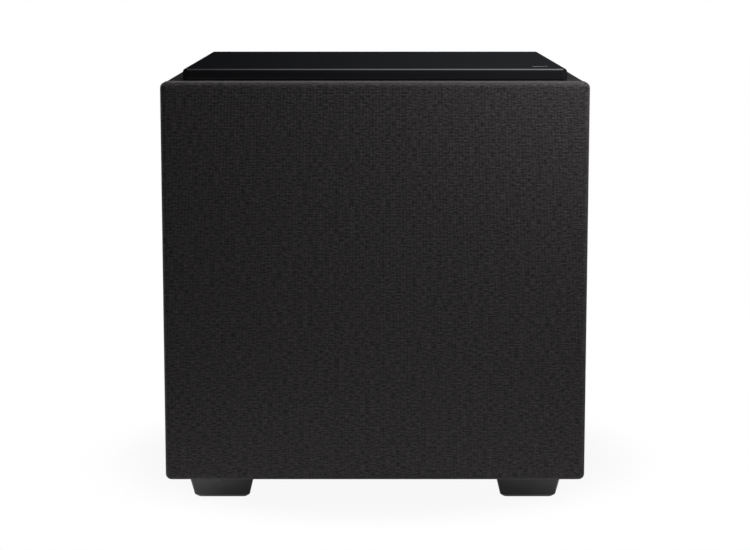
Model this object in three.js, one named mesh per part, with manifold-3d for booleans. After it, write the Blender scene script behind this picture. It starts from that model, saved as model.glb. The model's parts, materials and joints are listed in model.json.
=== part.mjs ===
// Active subwoofer: a sealed wooden cabinet with one front-firing driver, a pull-off cloth grille,
// a gloss top plate, four block feet and a plate amplifier in the rear panel.
// Millimetres. +X is right as the listener sees it, +Y is back, +Z is up.
// The origin is on the floor, under the middle of the whole object.

import * as THREE from "three";
import { mergeVertices } from "three/addons/utils/BufferGeometryUtils.js";
import Module from "manifold-3d";

const wasm = await Module();
wasm.setup();

// ---------------------------------------------------------------- driving dimensions

// Depths are counted back from the grille's front face, which is at y = FRONT.
const OVERALL = { depth: 395, height: 375 };
const FRONT = -OVERALL.depth / 2;
const GAP = 0.25; // between pieces that fit inside one another

const GRILLE = {
  width: 360, bottom: 24.5, top: 365.5, back: 20, corner: 5, edge: 4.5,
  cloth: 1.25, clothBack: 19, openingRadius: 142,
};
const CABINET = { width: 356, bottom: 25, top: 364.5, front: 22, back: 380, wall: 16 };
const BAFFLE = { back: 44, rebateRadius: 132, rebateBack: 28, holeRadius: 118 };
const REAR = { front: 362, cutWidth: 212, cutBottom: 74, cutTop: 282, cutCorner: 8 };
const BRACE = { front: 200, back: 216, windowWidth: 200, windowHeight: 190, corner: 25 };
const WADDING = { width: 290, thickness: 25, front: 50, back: 194, corner: 12 };
const PLATE = { width: 328, front: 36, back: 366, edge: 2, corner: 3 };
const STRIP = { x: 143, fromEdge: 36, width: 13, depth: 6, thickness: 1 };
const FOOT = {
  x: 134, frontDepth: 30, rearDepth: 322, topWidth: 58.5, topLength: 50, taper: 5,
  chamferHeight: 2.75, chamferWidth: 3.25, bottom: 0.5,
};
const PAD = { width: 34, length: 27, top: 3, corner: 4 };
const PEG = { x: 146, z: 137, baseRadius: 8, baseFront: 16, pinRadius: 4, tip: 33 };
const SOCKET = { flangeRadius: 9, flangeFront: 21, radius: 7, bore: 4.5, boreEnd: 34.5, end: 36 };

// Driver: radii, and depths as above.
const FLANGE = { radius: 131, front: 22, thickness: 4, ledge: 24 };
const SURROUND = { lipRadius: 118.5, rollOuter: 110, rollInner: 88, rollHeight: 10, thickness: 1 };
const CONE = { rimRadius: 90.5, rimFlat: 84, neckRadius: 26.75, neckFront: 60 };
const CAP = { radius: 44, apex: 36, rim: 47, thickness: 1 };
const FORMER = { inner: 25.25, outer: 26, front: 58, back: 105 };
const COIL = { outer: 27.5, front: 78, back: 104 };
const SPIDER = { inner: 26.75, outer: 72, lip: 64, ledge: 75, wave: 3, thickness: 1 };
const WASHER = { inner: 28.25, outer: 58, front: 87, back: 95 };
const MAGNET = { inner: 33, outer: 66, back: 125 };
const YOKE = { vent: 8, pole: 24.5, poleFront: 86, outer: 60, back: 135 };
const BASKET_WINDOW = { count: 8, width: 38, front: 36, back: 66 };

// Amplifier, on the rear panel.
const AMP = { width: 240, bottom: 60, top: 296, back: 382.5, corner: 6 };
const HEATSINK = { width: 192, bottom: 230, top: 286, base: 3, back: 394.5, fins: 17, fin: 2.5 };
const KNOB = { radius: 11, front: 383, groove: 1.5, shaftRadius: 3, shaftFront: 371, z: 196 };
const POT = { size: 17, back: 378, bushing: 5 };
const BOARD = { width: 200, bottom: 150, top: 270, front: 366.25, back: 368 };
const SWITCH = { bodyWidth: 24, bodyHeight: 10, nub: 4.5, nubBack: 385.5, pocket: 374, z: 196 };
const ROCKER = { x: -8, z: 100, width: 12.5, half: 8.5, lip: 2.5, tilt: 10, pivot: 383 };
const BEZEL = { width: 17, height: 23, back: 384.5, front: 366, wall: 1.25 };
const INLET = { x: -66, z: 100, width: 48, height: 40, back: 385, bodyWidth: 40, bodyHeight: 34 };
const SOCKET_HOLE = { z: 107, width: 24.5, height: 16.5, front: 369 };
const DRAWER = { z: 89, width: 22, height: 7, front: 366, back: 386.5, slotFront: 364 };
const JACKS = { x: 62, z: 168, pitch: 26, barrel: 4.25, bore: 1.75, back: 391.5, width: 46, height: 16 };
const LIGHT = { x: -80, z: 168, radius: 1.5, back: 384 };
const TRANSFORMER = { x: 60, z: 111, radius: 34, front: 344, back: 376, boss: 12 };
const CAPACITOR = { x: -58, z: 236, radius: 15, front: 326 };
const CABLE = { radius: 3, sides: 8, steps: 28 };

// Round pieces: sides of a circle by size.
const SIDES = { large: 40, medium: 28, small: 12 };

// ---------------------------------------------------------------- helpers

const at = (depth) => FRONT + depth;
const rad = THREE.MathUtils.degToRad;

// A closed geometry as a solid, with its shared vertices merged and its needle triangles dropped.
function solidOf(geometry) {
  const bare = geometry.clone();
  bare.deleteAttribute("normal");
  bare.deleteAttribute("uv");
  const merged = mergeVertices(bare, 1e-4);
  const index = Array.from(merged.index.array);
  const kept = [];
  for (let i = 0; i < index.length; i += 3) {
    const [a, b, c] = index.slice(i, i + 3);
    if (a !== b && b !== c && c !== a) kept.push(a, b, c);
  }
  return new wasm.Manifold(new wasm.Mesh({
    numProp: 3,
    vertProperties: Float32Array.from(merged.attributes.position.array),
    triVerts: Uint32Array.from(kept),
  }));
}

function geometryOf(solid) {
  const { vertProperties, triVerts } = solid.getMesh();
  const geometry = new THREE.BufferGeometry();
  geometry.setAttribute("position", new THREE.BufferAttribute(vertProperties, 3));
  geometry.setIndex(new THREE.BufferAttribute(triVerts, 1));
  geometry.computeVertexNormals();
  return geometry;
}

const cut = (body, ...tools) =>
  geometryOf(tools.reduce((left, tool) => left.subtract(solidOf(tool)), solidOf(body)));

const join = (body, ...others) =>
  geometryOf(others.reduce((sum, other) => sum.add(solidOf(other)), solidOf(body)));

const common = (body, other) => geometryOf(solidOf(body).intersect(solidOf(other)));

// A box from its limits; the second pair is in depths.
function block([x0, x1], [d0, d1], [z0, z1]) {
  const geometry = new THREE.BoxGeometry(x1 - x0, d1 - d0, z1 - z0);
  return geometry.translate((x0 + x1) / 2, at((d0 + d1) / 2), (z0 + z1) / 2);
}

const around = (middle, size) => [middle - size / 2, middle + size / 2];

function roundedRectangle(width, height, radius) {
  const [x, y] = [width / 2, height / 2];
  const shape = new THREE.Shape();
  shape.absarc(x - radius, y - radius, radius, 0, Math.PI / 2);
  shape.absarc(radius - x, y - radius, radius, Math.PI / 2, Math.PI);
  shape.absarc(radius - x, radius - y, radius, Math.PI, 1.5 * Math.PI);
  shape.absarc(x - radius, radius - y, radius, 1.5 * Math.PI, 2 * Math.PI);
  return shape;
}

// A shape drawn in x and z, extruded between two depths.
function extruded(shape, front, back, { x = 0, z = 0, curveSegments = 3 } = {}) {
  const geometry = new THREE.ExtrudeGeometry(shape, {
    depth: back - front, bevelEnabled: false, curveSegments,
  });
  return geometry.rotateX(Math.PI / 2).translate(x, at(back), z);
}

// A slab lying in x and z whose front edges are rounded; its back is cut off flat.
function cushionedSlab(width, height, corner, edge, front, back, z) {
  const geometry = new THREE.ExtrudeGeometry(roundedRectangle(width, height, corner), {
    depth: back - front, bevelThickness: edge, bevelSize: edge, bevelOffset: -edge,
    bevelSegments: 3, curveSegments: 3,
  });
  geometry.rotateX(Math.PI / 2).translate(0, at(back + edge), z);
  return cut(geometry, block(around(0, 2 * width), [back, back + 3 * edge], around(z, 2 * height)));
}

// A solid of revolution about a line along Y, from points [radius, depth]. The outline closes on
// itself unless it starts and ends on the axis.
function turned(points, sides, { x = 0, z = 0 } = {}) {
  const outline = points.map(([radius, depth]) => new THREE.Vector2(radius, at(depth)));
  if (THREE.ShapeUtils.area(outline) < 0) outline.reverse();
  const onAxis = outline[0].x === 0 && outline.at(-1).x === 0;
  if (!onAxis) {
    const start = outline.findIndex((point) => point.x > 0);
    outline.push(...outline.splice(0, start));
    outline.push(outline[0].clone());
  }
  return new THREE.LatheGeometry(outline, sides).translate(x, 0, z);
}

const rod = (radius, front, back, sides, place) =>
  turned([[0, front], [radius, front], [radius, back], [0, back]], sides, place);

const ring = (inner, outer, front, back, sides, place) =>
  turned([[inner, front], [outer, front], [outer, back], [inner, back]], sides, place);

// ---------------------------------------------------------------- materials

const finish = (color, roughness, metalness = 0) =>
  new THREE.MeshStandardMaterial({ color, roughness, metalness });

const FINISH = {
  cloth: finish(0x242323, 0.95),
  satinBlack: finish(0x17171a, 0.55),
  glossBlack: finish(0x101014, 0.06),
  vinyl: finish(0x121213, 0.6),
  board: finish(0x8a6f4d, 0.85),
  fibre: finish(0xd9d6cc, 1),
  rubber: finish(0x1b1b1b, 0.8),
  paper: finish(0x1f1f20, 0.85),
  spider: finish(0xa8792e, 0.9),
  kapton: finish(0x9a5a1e, 0.4),
  copper: finish(0xb5652a, 0.35, 1),
  ferrite: finish(0x33343a, 0.5),
  zinc: finish(0xa9adb2, 0.35, 1),
  basketPaint: finish(0x141415, 0.5),
  aluminium: finish(0x1c1d1f, 0.45, 0.6),
  nylon: finish(0x151515, 0.5),
  circuit: finish(0x1e5a34, 0.6),
  tape: finish(0xc9a227, 0.5),
  sleeve: finish(0x1c2f5c, 0.4),
  gold: finish(0xc9a14a, 0.25, 1),
  lens: finish(0x3a8f4a, 0.2),
};

const group = new THREE.Group();

function piece(name, geometry, material, parent = group) {
  const mesh = new THREE.Mesh(geometry, material);
  mesh.name = name;
  parent.add(mesh);
  return mesh;
}

// ---------------------------------------------------------------- cabinet

const half = CABINET.width / 2;
const inside = half - CABINET.wall;
const floor = CABINET.bottom + CABINET.wall;
const ceiling = CABINET.top - CABINET.wall;
const middle = (CABINET.bottom + CABINET.top) / 2; // height of the driver's axis
const cabinetDepth = [CABINET.front, CABINET.back];
const corners = [];
const pegPlaces = [];
for (const [side, x] of [["left", -1], ["right", 1]]) {
  corners.push([`front_${side}`, x, false], [`rear_${side}`, x, true]);
  for (const [level, z] of [["lower", -1], ["upper", 1]]) {
    pegPlaces.push([`${level}_${side}`, { x: x * PEG.x, z: middle + z * PEG.z }]);
  }
}

function sidePanels() {
  for (const [name, side] of [["left_side_panel", -1], ["right_side_panel", 1]]) {
    const span = side > 0 ? [inside, half] : [-half, -inside];
    piece(name, block(span, cabinetDepth, [CABINET.bottom, CABINET.top]), FINISH.vinyl);
  }
}

function baffle() {
  const hollows = [
    rod(BAFFLE.rebateRadius, CABINET.front - 2, BAFFLE.rebateBack, SIDES.large, { z: middle }),
    rod(BAFFLE.holeRadius, BAFFLE.rebateBack - 2, BAFFLE.back + 2, SIDES.large, { z: middle }),
    ...pegPlaces.map(([, place]) =>
      rod(SOCKET.radius + GAP, CABINET.front - 2, SOCKET.end + GAP, SIDES.small, place)),
  ];
  return cut(block([-inside, inside], [CABINET.front, BAFFLE.back], [floor, ceiling]), ...hollows);
}

function rearPanel() {
  const [height, z] = [REAR.cutTop - REAR.cutBottom, (REAR.cutTop + REAR.cutBottom) / 2];
  const opening = roundedRectangle(REAR.cutWidth, height, REAR.cutCorner);
  return cut(
    block([-inside, inside], [REAR.front, CABINET.back], [floor, ceiling]),
    extruded(opening, REAR.front - 2, CABINET.back + 2, { z }),
  );
}

function brace() {
  const window = roundedRectangle(BRACE.windowWidth, BRACE.windowHeight, BRACE.corner);
  return cut(
    block([-inside, inside], [BRACE.front, BRACE.back], [floor, ceiling]),
    extruded(window, BRACE.front - 2, BRACE.back + 2, { z: middle }),
  );
}

// A flat pad of wadding on the cabinet's floor.
function wadding() {
  const outline = roundedRectangle(WADDING.width, WADDING.back - WADDING.front, WADDING.corner);
  const pad = new THREE.ExtrudeGeometry(outline, {
    depth: WADDING.thickness, bevelEnabled: false, curveSegments: 3,
  });
  return pad.translate(0, at((WADDING.front + WADDING.back) / 2), floor + GAP);
}

sidePanels();
piece("top_panel", block([-inside, inside], cabinetDepth, [ceiling, CABINET.top]), FINISH.vinyl);
piece("bottom_panel", block([-inside, inside], cabinetDepth, [CABINET.bottom, floor]), FINISH.vinyl);
piece("front_baffle", baffle(), FINISH.vinyl);
piece("rear_panel", rearPanel(), FINISH.vinyl);
piece("window_brace", brace(), FINISH.board);
piece("wadding", wadding(), FINISH.fibre);

// ---------------------------------------------------------------- top plate

// The plate's top edges and corners are rounded. A short metal strip is let into it at one corner.
function topPlate() {
  const [width, length] = [PLATE.width, PLATE.back - PLATE.front];
  const thickness = OVERALL.height - CABINET.top;
  const slab = new THREE.ExtrudeGeometry(roundedRectangle(width, length, PLATE.corner), {
    depth: thickness, bevelThickness: PLATE.edge, bevelSize: PLATE.edge, bevelOffset: -PLATE.edge,
    bevelSegments: 2, curveSegments: 3,
  });
  const y = (PLATE.front + PLATE.back) / 2;
  slab.translate(0, at(y), CABINET.top - PLATE.edge);
  const below = block(around(0, 2 * width), around(y, 2 * length), [CABINET.top - 20, CABINET.top]);
  return cut(slab, below, stripSolid(2 * GAP));
}

function stripSolid(growth) {
  const depth = PLATE.front + STRIP.fromEdge;
  const top = OVERALL.height + (growth > 0 ? 1 : 0);
  return block(
    around(STRIP.x, STRIP.width + growth), around(depth, STRIP.depth + growth),
    [OVERALL.height - STRIP.thickness, top],
  );
}

piece("top_plate", topPlate(), FINISH.glossBlack);
piece("top_plate_strip", stripSolid(0), FINISH.zinc);

// ---------------------------------------------------------------- feet

// The outline of a foot seen from one side: it tapers downwards and ends in a chamfer.
function footOutline(width) {
  const [top, knee, bottom] = [CABINET.bottom, FOOT.bottom + FOOT.chamferHeight, FOOT.bottom];
  const outer = width / 2;
  const atKnee = outer - FOOT.taper;
  const atBottom = atKnee - FOOT.chamferWidth;
  return new THREE.Shape([
    [-outer, top], [-atKnee, knee], [-atBottom, bottom], [atBottom, bottom], [atKnee, knee], [outer, top],
  ].map(([x, y]) => new THREE.Vector2(x, y)));
}

function foot(x, front) {
  const depthMiddle = front + FOOT.topLength / 2;
  const lengthways = extruded(footOutline(FOOT.topWidth), front - 5, front + FOOT.topLength + 5, { x });
  const crossways = new THREE.ExtrudeGeometry(footOutline(FOOT.topLength), {
    depth: 2 * FOOT.topWidth, bevelEnabled: false,
  });
  crossways.rotateX(Math.PI / 2).rotateZ(Math.PI / 2).translate(x - FOOT.topWidth, at(depthMiddle), 0);
  return cut(common(lengthways, crossways), padSolid(x, depthMiddle, 2 * GAP, FOOT.bottom - 2));
}

function padSolid(x, depthMiddle, growth, bottom) {
  const outline = roundedRectangle(PAD.width + growth, PAD.length + growth, PAD.corner);
  const pad = new THREE.ExtrudeGeometry(outline, {
    depth: PAD.top - bottom, bevelEnabled: false, curveSegments: 3,
  });
  return pad.translate(x, at(depthMiddle), bottom);
}

for (const [name, side, rear] of corners) {
  const front = rear ? FOOT.rearDepth : FOOT.frontDepth;
  const x = side * FOOT.x;
  piece(`foot_${name}`, foot(x, front), FINISH.satinBlack);
  piece(`foot_pad_${name}`, padSolid(x, front + FOOT.topLength / 2, 0, 0), FINISH.rubber);
}

// ---------------------------------------------------------------- grille

const grilleMiddle = (GRILLE.bottom + GRILLE.top) / 2;
const grilleHeight = GRILLE.top - GRILLE.bottom;

// The grille's outer form, shrunk by an inset all round its front and sides.
const grilleForm = (inset, back) => cushionedSlab(
  GRILLE.width - 2 * inset, grilleHeight - 2 * inset, GRILLE.corner - inset, GRILLE.edge - inset,
  inset, back, grilleMiddle,
);

function grilleFrame() {
  return cut(
    grilleForm(GRILLE.cloth + GAP, GRILLE.back),
    rod(GRILLE.openingRadius, -2, GRILLE.back + 2, SIDES.large, { z: middle }),
    ...pegPlaces.map(([, place]) =>
      rod(PEG.baseRadius + GAP, PEG.baseFront, GRILLE.back + 2, SIDES.small, place)),
  );
}

// Cloth over the frame's front and sides.
const grilleCloth = () => cut(grilleForm(0, GRILLE.clothBack), grilleForm(GRILLE.cloth, GRILLE.back + 2));

const peg = (place) => turned([
  [0, PEG.baseFront], [PEG.baseRadius, PEG.baseFront], [PEG.baseRadius, GRILLE.back],
  [PEG.pinRadius, GRILLE.back], [PEG.pinRadius, PEG.tip - 1], [PEG.pinRadius - 1, PEG.tip], [0, PEG.tip],
], SIDES.small, place);

const pegSocket = (place) => turned([
  [0, SOCKET.boreEnd], [SOCKET.bore, SOCKET.boreEnd], [SOCKET.bore, SOCKET.flangeFront],
  [SOCKET.flangeRadius, SOCKET.flangeFront], [SOCKET.flangeRadius, CABINET.front],
  [SOCKET.radius, CABINET.front], [SOCKET.radius, SOCKET.end], [0, SOCKET.end],
], SIDES.small, place);

piece("grille_frame", grilleFrame(), FINISH.satinBlack);
piece("grille_cloth", grilleCloth(), FINISH.cloth);
for (const [name, place] of pegPlaces) {
  piece(`grille_peg_${name}`, peg(place), FINISH.nylon);
  piece(`peg_socket_${name}`, pegSocket(place), FINISH.rubber);
}

// ---------------------------------------------------------------- driver

const driver = new THREE.Group();
driver.position.z = middle;
group.add(driver);

// The basket, from its flange in the baffle down to the plate on the magnet's washer.
function basketBody() {
  return turned([
    [FLANGE.radius, FLANGE.front], [FLANGE.radius, FLANGE.front + FLANGE.thickness],
    [116.5, 26], [104, 43], [81, 70], [77, 79.5], [62, WASHER.front], [40, WASHER.front],
    [40, 82.5], [57.5, 82.5], [63, SPIDER.ledge], [73.5, SPIDER.ledge], [77, 66], [100, 40],
    [109.5, FLANGE.ledge],
    [119.5, FLANGE.ledge], [119.5, FLANGE.front],
  ], SIDES.large);
}

function basket() {
  const windows = [];
  const length = BASKET_WINDOW.back - BASKET_WINDOW.front;
  for (let i = 0; i < BASKET_WINDOW.count; i += 1) {
    const window = new THREE.BoxGeometry(BASKET_WINDOW.width, length, 2 * FLANGE.radius);
    window.translate(0, at(BASKET_WINDOW.front + length / 2), FLANGE.radius + 50);
    windows.push(window.rotateY(((i + 0.5) * 2 * Math.PI) / BASKET_WINDOW.count));
  }
  return cut(basketBody(), ...windows);
}

// A half-roll of rubber between the basket's ledge and the cone's rim.
function surround() {
  const { rollOuter, rollInner, rollHeight, thickness } = SURROUND;
  const back = FLANGE.ledge;
  const centre = (rollOuter + rollInner) / 2;
  const arc = (radius, height, base) => [0, 1, 2, 3, 4].map((step) => {
    const angle = (step / 4) * Math.PI;
    return [centre + radius * Math.cos(angle), base - height * Math.sin(angle)];
  });
  const reach = (rollOuter - rollInner) / 2;
  return turned([
    [SURROUND.lipRadius, back], [SURROUND.lipRadius, back - thickness],
    ...arc(reach, rollHeight - thickness, back - thickness),
    [CONE.rimFlat, back - thickness], [CONE.rimFlat, back],
    ...arc(reach - thickness, rollHeight - thickness, back).reverse(),
  ], SIDES.large);
}

// A shallow curved cone with a flat rim for the surround to sit on.
function cone() {
  const front = [[CONE.rimRadius, 24], [CONE.rimFlat, 24], [66, 34.5], [46, 47.5]];
  const neck = [[CONE.neckRadius, CONE.neckFront], [CONE.neckRadius, CONE.neckFront + 2.5]];
  const back = [[47, 50], [67, 37], [84, 26.5], [CONE.rimRadius, 26]];
  return turned([...front, ...neck, ...back], SIDES.large);
}

function dustCap() {
  const sag = CAP.rim - CAP.apex;
  const dome = (lift, reach) => [0, 1, 2, 3].map((step) => {
    const radius = (reach * step) / 3;
    return [radius, CAP.apex + lift + sag * (radius / CAP.radius) ** 2];
  });
  return turned([...dome(0, CAP.radius), ...dome(CAP.thickness, CAP.radius - 0.5).reverse()], SIDES.medium);
}

// A disc pleated in rings, between the former and the basket's inner ledge.
function spider() {
  const start = SPIDER.inner + 3;
  const pleats = [0, 1, 2, 3, 4].map((step) => [
    start + ((SPIDER.lip - start) * step) / 4,
    SPIDER.ledge - (step % 2 ? SPIDER.wave : 0),
  ]);
  const front = pleats.map(([radius, depth]) => [radius, depth - SPIDER.thickness]);
  return turned([
    [SPIDER.inner, SPIDER.ledge], ...pleats, [SPIDER.outer, SPIDER.ledge],
    [SPIDER.outer, SPIDER.ledge - SPIDER.thickness], ...front.reverse(),
    [SPIDER.inner, SPIDER.ledge - SPIDER.thickness],
  ], SIDES.medium);
}

const yoke = () => turned([
  [YOKE.vent, YOKE.poleFront], [YOKE.pole, YOKE.poleFront], [YOKE.pole, MAGNET.back],
  [YOKE.outer, MAGNET.back], [YOKE.outer, YOKE.back], [YOKE.vent, YOKE.back],
], SIDES.medium);

// A board for the two leads, on the outside of the basket between two windows.
const terminalBlock = () => cut(
  block([78, 94], [56, 76], [-11, 11]),
  turned([[0, 20], [104.5, 43], [81.5, 70], [77.5, 80], [0, 80]], SIDES.large),
);

const flangeBack = FLANGE.front + FLANGE.thickness;
piece("basket", basket(), FINISH.basketPaint, driver);
piece("basket_gasket", ring(119, FLANGE.radius, flangeBack, BAFFLE.rebateBack, SIDES.large),
  FINISH.rubber, driver);
piece("surround", surround(), FINISH.rubber, driver);
piece("cone", cone(), FINISH.paper, driver);
piece("dust_cap", dustCap(), FINISH.paper, driver);
piece("spider", spider(), FINISH.spider, driver);
piece("former", ring(FORMER.inner, FORMER.outer, FORMER.front, FORMER.back, SIDES.medium),
  FINISH.kapton, driver);
piece("voice_coil", ring(FORMER.outer + GAP, COIL.outer, COIL.front, COIL.back, SIDES.medium),
  FINISH.copper, driver);
piece("top_washer", ring(WASHER.inner, WASHER.outer, WASHER.front, WASHER.back, SIDES.medium),
  FINISH.zinc, driver);
piece("magnet", ring(MAGNET.inner, MAGNET.outer, WASHER.back, MAGNET.back, SIDES.large),
  FINISH.ferrite, driver);
piece("yoke", yoke(), FINISH.zinc, driver);
piece("terminal_block", terminalBlock(), FINISH.circuit, driver);

// ---------------------------------------------------------------- amplifier

const knobs = [["gain", 66], ["crossover", 14]];
const sliders = [["phase", -36, 4], ["power_mode", -82, 8]]; // name, x, travel

function ampPlate() {
  const [height, z] = [AMP.top - AMP.bottom, (AMP.top + AMP.bottom) / 2];
  const through = [CABINET.back - 2, AMP.back + 2];
  const holes = [
    ...knobs.map(([, x]) => rod(KNOB.shaftRadius + 0.5, ...through, SIDES.small, { x, z: KNOB.z })),
    ...sliders.map(([, x, travel]) => block(
      around(x, SWITCH.nub + travel + 2 * GAP), through, around(SWITCH.z, SWITCH.nub + 2 * GAP))),
    block(around(ROCKER.x, BEZEL.width - 1), through, around(ROCKER.z, BEZEL.height - 1)),
    block(
      around(INLET.x, INLET.bodyWidth + 2 * GAP), through, around(INLET.z, INLET.bodyHeight + 2 * GAP)),
    block(around(JACKS.x, JACKS.width - 6), through, around(JACKS.z, JACKS.height - 4)),
    rod(LIGHT.radius + GAP, ...through, SIDES.small, LIGHT),
  ];
  const sheet = extruded(roundedRectangle(AMP.width, height, AMP.corner), CABINET.back, AMP.back, { z });
  return cut(sheet, ...holes);
}

// An extruded comb: a base with upright fins.
function heatsink() {
  const { width, fins, fin, base } = HEATSINK;
  const height = HEATSINK.back - AMP.back;
  const pitch = (width - fin) / (fins - 1);
  const outline = [[-width / 2, 0], [-width / 2, -height]];
  for (let i = 0; i < fins; i += 1) {
    const left = -width / 2 + i * pitch;
    if (i > 0) outline.push([left, -base], [left, -height]);
    outline.push([left + fin, -height]);
    if (i < fins - 1) outline.push([left + fin, -base]);
  }
  outline.push([width / 2, 0]);
  const shape = new THREE.Shape(outline.map(([x, y]) => new THREE.Vector2(x, -y)));
  const comb = new THREE.ExtrudeGeometry(shape, {
    depth: HEATSINK.top - HEATSINK.bottom, bevelEnabled: false,
  });
  return comb.translate(0, at(AMP.back), HEATSINK.bottom);
}

// A knob with its shaft. A groove on its face and side shows where it points.
function knob(place) {
  const body = turned([
    [0, KNOB.shaftFront], [KNOB.shaftRadius, KNOB.shaftFront], [KNOB.shaftRadius, KNOB.front],
    [KNOB.radius, KNOB.front], [KNOB.radius - 1, OVERALL.depth - 1], [KNOB.radius - 2, OVERALL.depth],
    [0, OVERALL.depth],
  ], SIDES.medium, place);
  const groove = block(
    around(place.x, KNOB.groove), [OVERALL.depth - 0.75, OVERALL.depth + 2], [place.z + 2, place.z + 12]);
  return cut(body, groove);
}

const potentiometer = (place) => cut(
  join(
    block(around(place.x, POT.size), [BOARD.back, POT.back], around(place.z, POT.size)),
    rod(POT.bushing, POT.back - 1, CABINET.back, SIDES.small, place),
  ),
  rod(KNOB.shaftRadius + GAP, KNOB.shaftFront - 1, CABINET.back + 1, SIDES.small, place),
);

for (const [name, x] of knobs) {
  const place = { x, z: KNOB.z };
  piece(`${name}_knob`, knob(place), FINISH.nylon);
  piece(`${name}_potentiometer`, potentiometer(place), FINISH.zinc);
}

// A slider's nub shows through the plate and runs in a pocket of the switch behind it.
for (const [name, x, travel] of sliders) {
  const pocket = block(
    around(x, SWITCH.nub + travel + 2 * GAP), [SWITCH.pocket, CABINET.back + 1],
    around(SWITCH.z, SWITCH.nub + 2 * GAP));
  const body = block(
    around(x, SWITCH.bodyWidth), [BOARD.back, CABINET.back], around(SWITCH.z, SWITCH.bodyHeight));
  const rest = name === "phase" ? x - travel / 2 : x;
  const nub = block(
    around(rest, SWITCH.nub), [SWITCH.pocket + GAP, SWITCH.nubBack], around(SWITCH.z, SWITCH.nub));
  piece(`${name}_switch`, cut(body, pocket), FINISH.zinc);
  piece(`${name}_slider`, nub, FINISH.nylon);
}

// A rocker with a shallow V face, tilted about a pin along X.
function rocker() {
  const { half: reach, lip } = ROCKER;
  const outline = [[-reach, lip], [0, lip - 1.25], [reach, lip], [reach - 2, -6], [2 - reach, -6]];
  const shape = new THREE.Shape(outline.map(([up, out]) => new THREE.Vector2(out, up)));
  const body = new THREE.ExtrudeGeometry(shape, { depth: ROCKER.width, bevelEnabled: false });
  body.rotateX(Math.PI / 2).rotateZ(Math.PI / 2); // drawn x is now depth, drawn y is height
  body.translate(-ROCKER.width / 2, 0, 0);
  return body.rotateX(rad(-ROCKER.tilt)).translate(ROCKER.x, at(ROCKER.pivot), ROCKER.z);
}

function rockerBezel() {
  const { width, height, wall } = BEZEL;
  const lip = block(around(ROCKER.x, width), [AMP.back, BEZEL.back], around(ROCKER.z, height));
  const body = block(
    around(ROCKER.x, width - 1.5), [BEZEL.front, AMP.back + 0.5], around(ROCKER.z, height - 1.5));
  const pocket = block(
    around(ROCKER.x, width - 1.5 - 2 * wall), [BEZEL.front + 2, BEZEL.back + 2],
    around(ROCKER.z, height - 1.5 - 2 * wall));
  return cut(join(lip, body), pocket);
}

// A mains inlet with a socket for the lead and a slot for the fuse drawer.
function mainsInlet() {
  const lip = extruded(roundedRectangle(INLET.width, INLET.height, 3), AMP.back, INLET.back, INLET);
  const body = block(
    around(INLET.x, INLET.bodyWidth), [REAR.front, AMP.back + 1], around(INLET.z, INLET.bodyHeight));
  const socket = block(
    around(INLET.x, SOCKET_HOLE.width), [SOCKET_HOLE.front, INLET.back + 2],
    around(SOCKET_HOLE.z, SOCKET_HOLE.height));
  const slot = block(
    around(INLET.x, DRAWER.width + 2 * GAP), [DRAWER.slotFront, INLET.back + 2],
    around(DRAWER.z, DRAWER.height + 2 * GAP));
  return cut(join(lip, body), socket, slot);
}

function fuseDrawer() {
  const body = block(
    around(INLET.x, DRAWER.width), [DRAWER.front, DRAWER.back], around(DRAWER.z, DRAWER.height));
  const well = block(
    around(INLET.x, DRAWER.width - 3), [DRAWER.front + 2, AMP.back - 1.5], [DRAWER.z - 2, DRAWER.z + 10]);
  return cut(body, well);
}

// Two line sockets in one moulded block.
function lineJacks() {
  const flange = extruded(roundedRectangle(JACKS.width, JACKS.height, 2), AMP.back, AMP.back + 1.5, JACKS);
  const body = block(
    around(JACKS.x, JACKS.width - 6.5), [BOARD.back, AMP.back + 0.5], around(JACKS.z, JACKS.height - 4.5));
  const places = [-0.5, 0.5].map((side) => ({ x: JACKS.x + side * JACKS.pitch, z: JACKS.z }));
  const barrels = places.map((place) => rod(JACKS.barrel, AMP.back, JACKS.back, SIDES.small, place));
  const bores = places.map((place) => rod(JACKS.bore, AMP.back - 6, JACKS.back + 1, SIDES.small, place));
  return cut(join(flange, body, ...barrels), ...bores);
}

const statusLight = () => turned([
  [0, CABINET.back - 6], [LIGHT.radius, CABINET.back - 6], [LIGHT.radius, LIGHT.back - 0.75],
  [LIGHT.radius * 0.6, LIGHT.back], [0, LIGHT.back],
], SIDES.small, LIGHT);

// A toroidal winding on a bolt that stands off the plate.
const transformer = () => turned([
  [0, TRANSFORMER.front + 2], [TRANSFORMER.boss, TRANSFORMER.front + 2],
  [TRANSFORMER.boss + 4, TRANSFORMER.front], [TRANSFORMER.radius - 6, TRANSFORMER.front],
  [TRANSFORMER.radius, TRANSFORMER.front + 6], [TRANSFORMER.radius, TRANSFORMER.back - 6],
  [TRANSFORMER.radius - 6, TRANSFORMER.back], [TRANSFORMER.boss, TRANSFORMER.back],
  [TRANSFORMER.boss, CABINET.back], [0, CABINET.back],
], SIDES.medium, TRANSFORMER);

piece("amp_plate", ampPlate(), FINISH.aluminium);
piece("heatsink", heatsink(), FINISH.aluminium);
piece("circuit_board", block(around(0, BOARD.width), [BOARD.front, BOARD.back], [BOARD.bottom, BOARD.top]),
  FINISH.circuit);
piece("transformer", transformer(), FINISH.tape);
piece("capacitor", rod(CAPACITOR.radius, CAPACITOR.front, BOARD.front, SIDES.medium, CAPACITOR),
  FINISH.sleeve);
piece("rocker", rocker(), FINISH.nylon);
piece("rocker_bezel", rockerBezel(), FINISH.nylon);
piece("mains_inlet", mainsInlet(), FINISH.nylon);
piece("fuse_drawer", fuseDrawer(), FINISH.nylon);
piece("line_jacks", lineJacks(), FINISH.gold);
piece("status_light", statusLight(), FINISH.lens);

// ---------------------------------------------------------------- wiring

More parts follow.
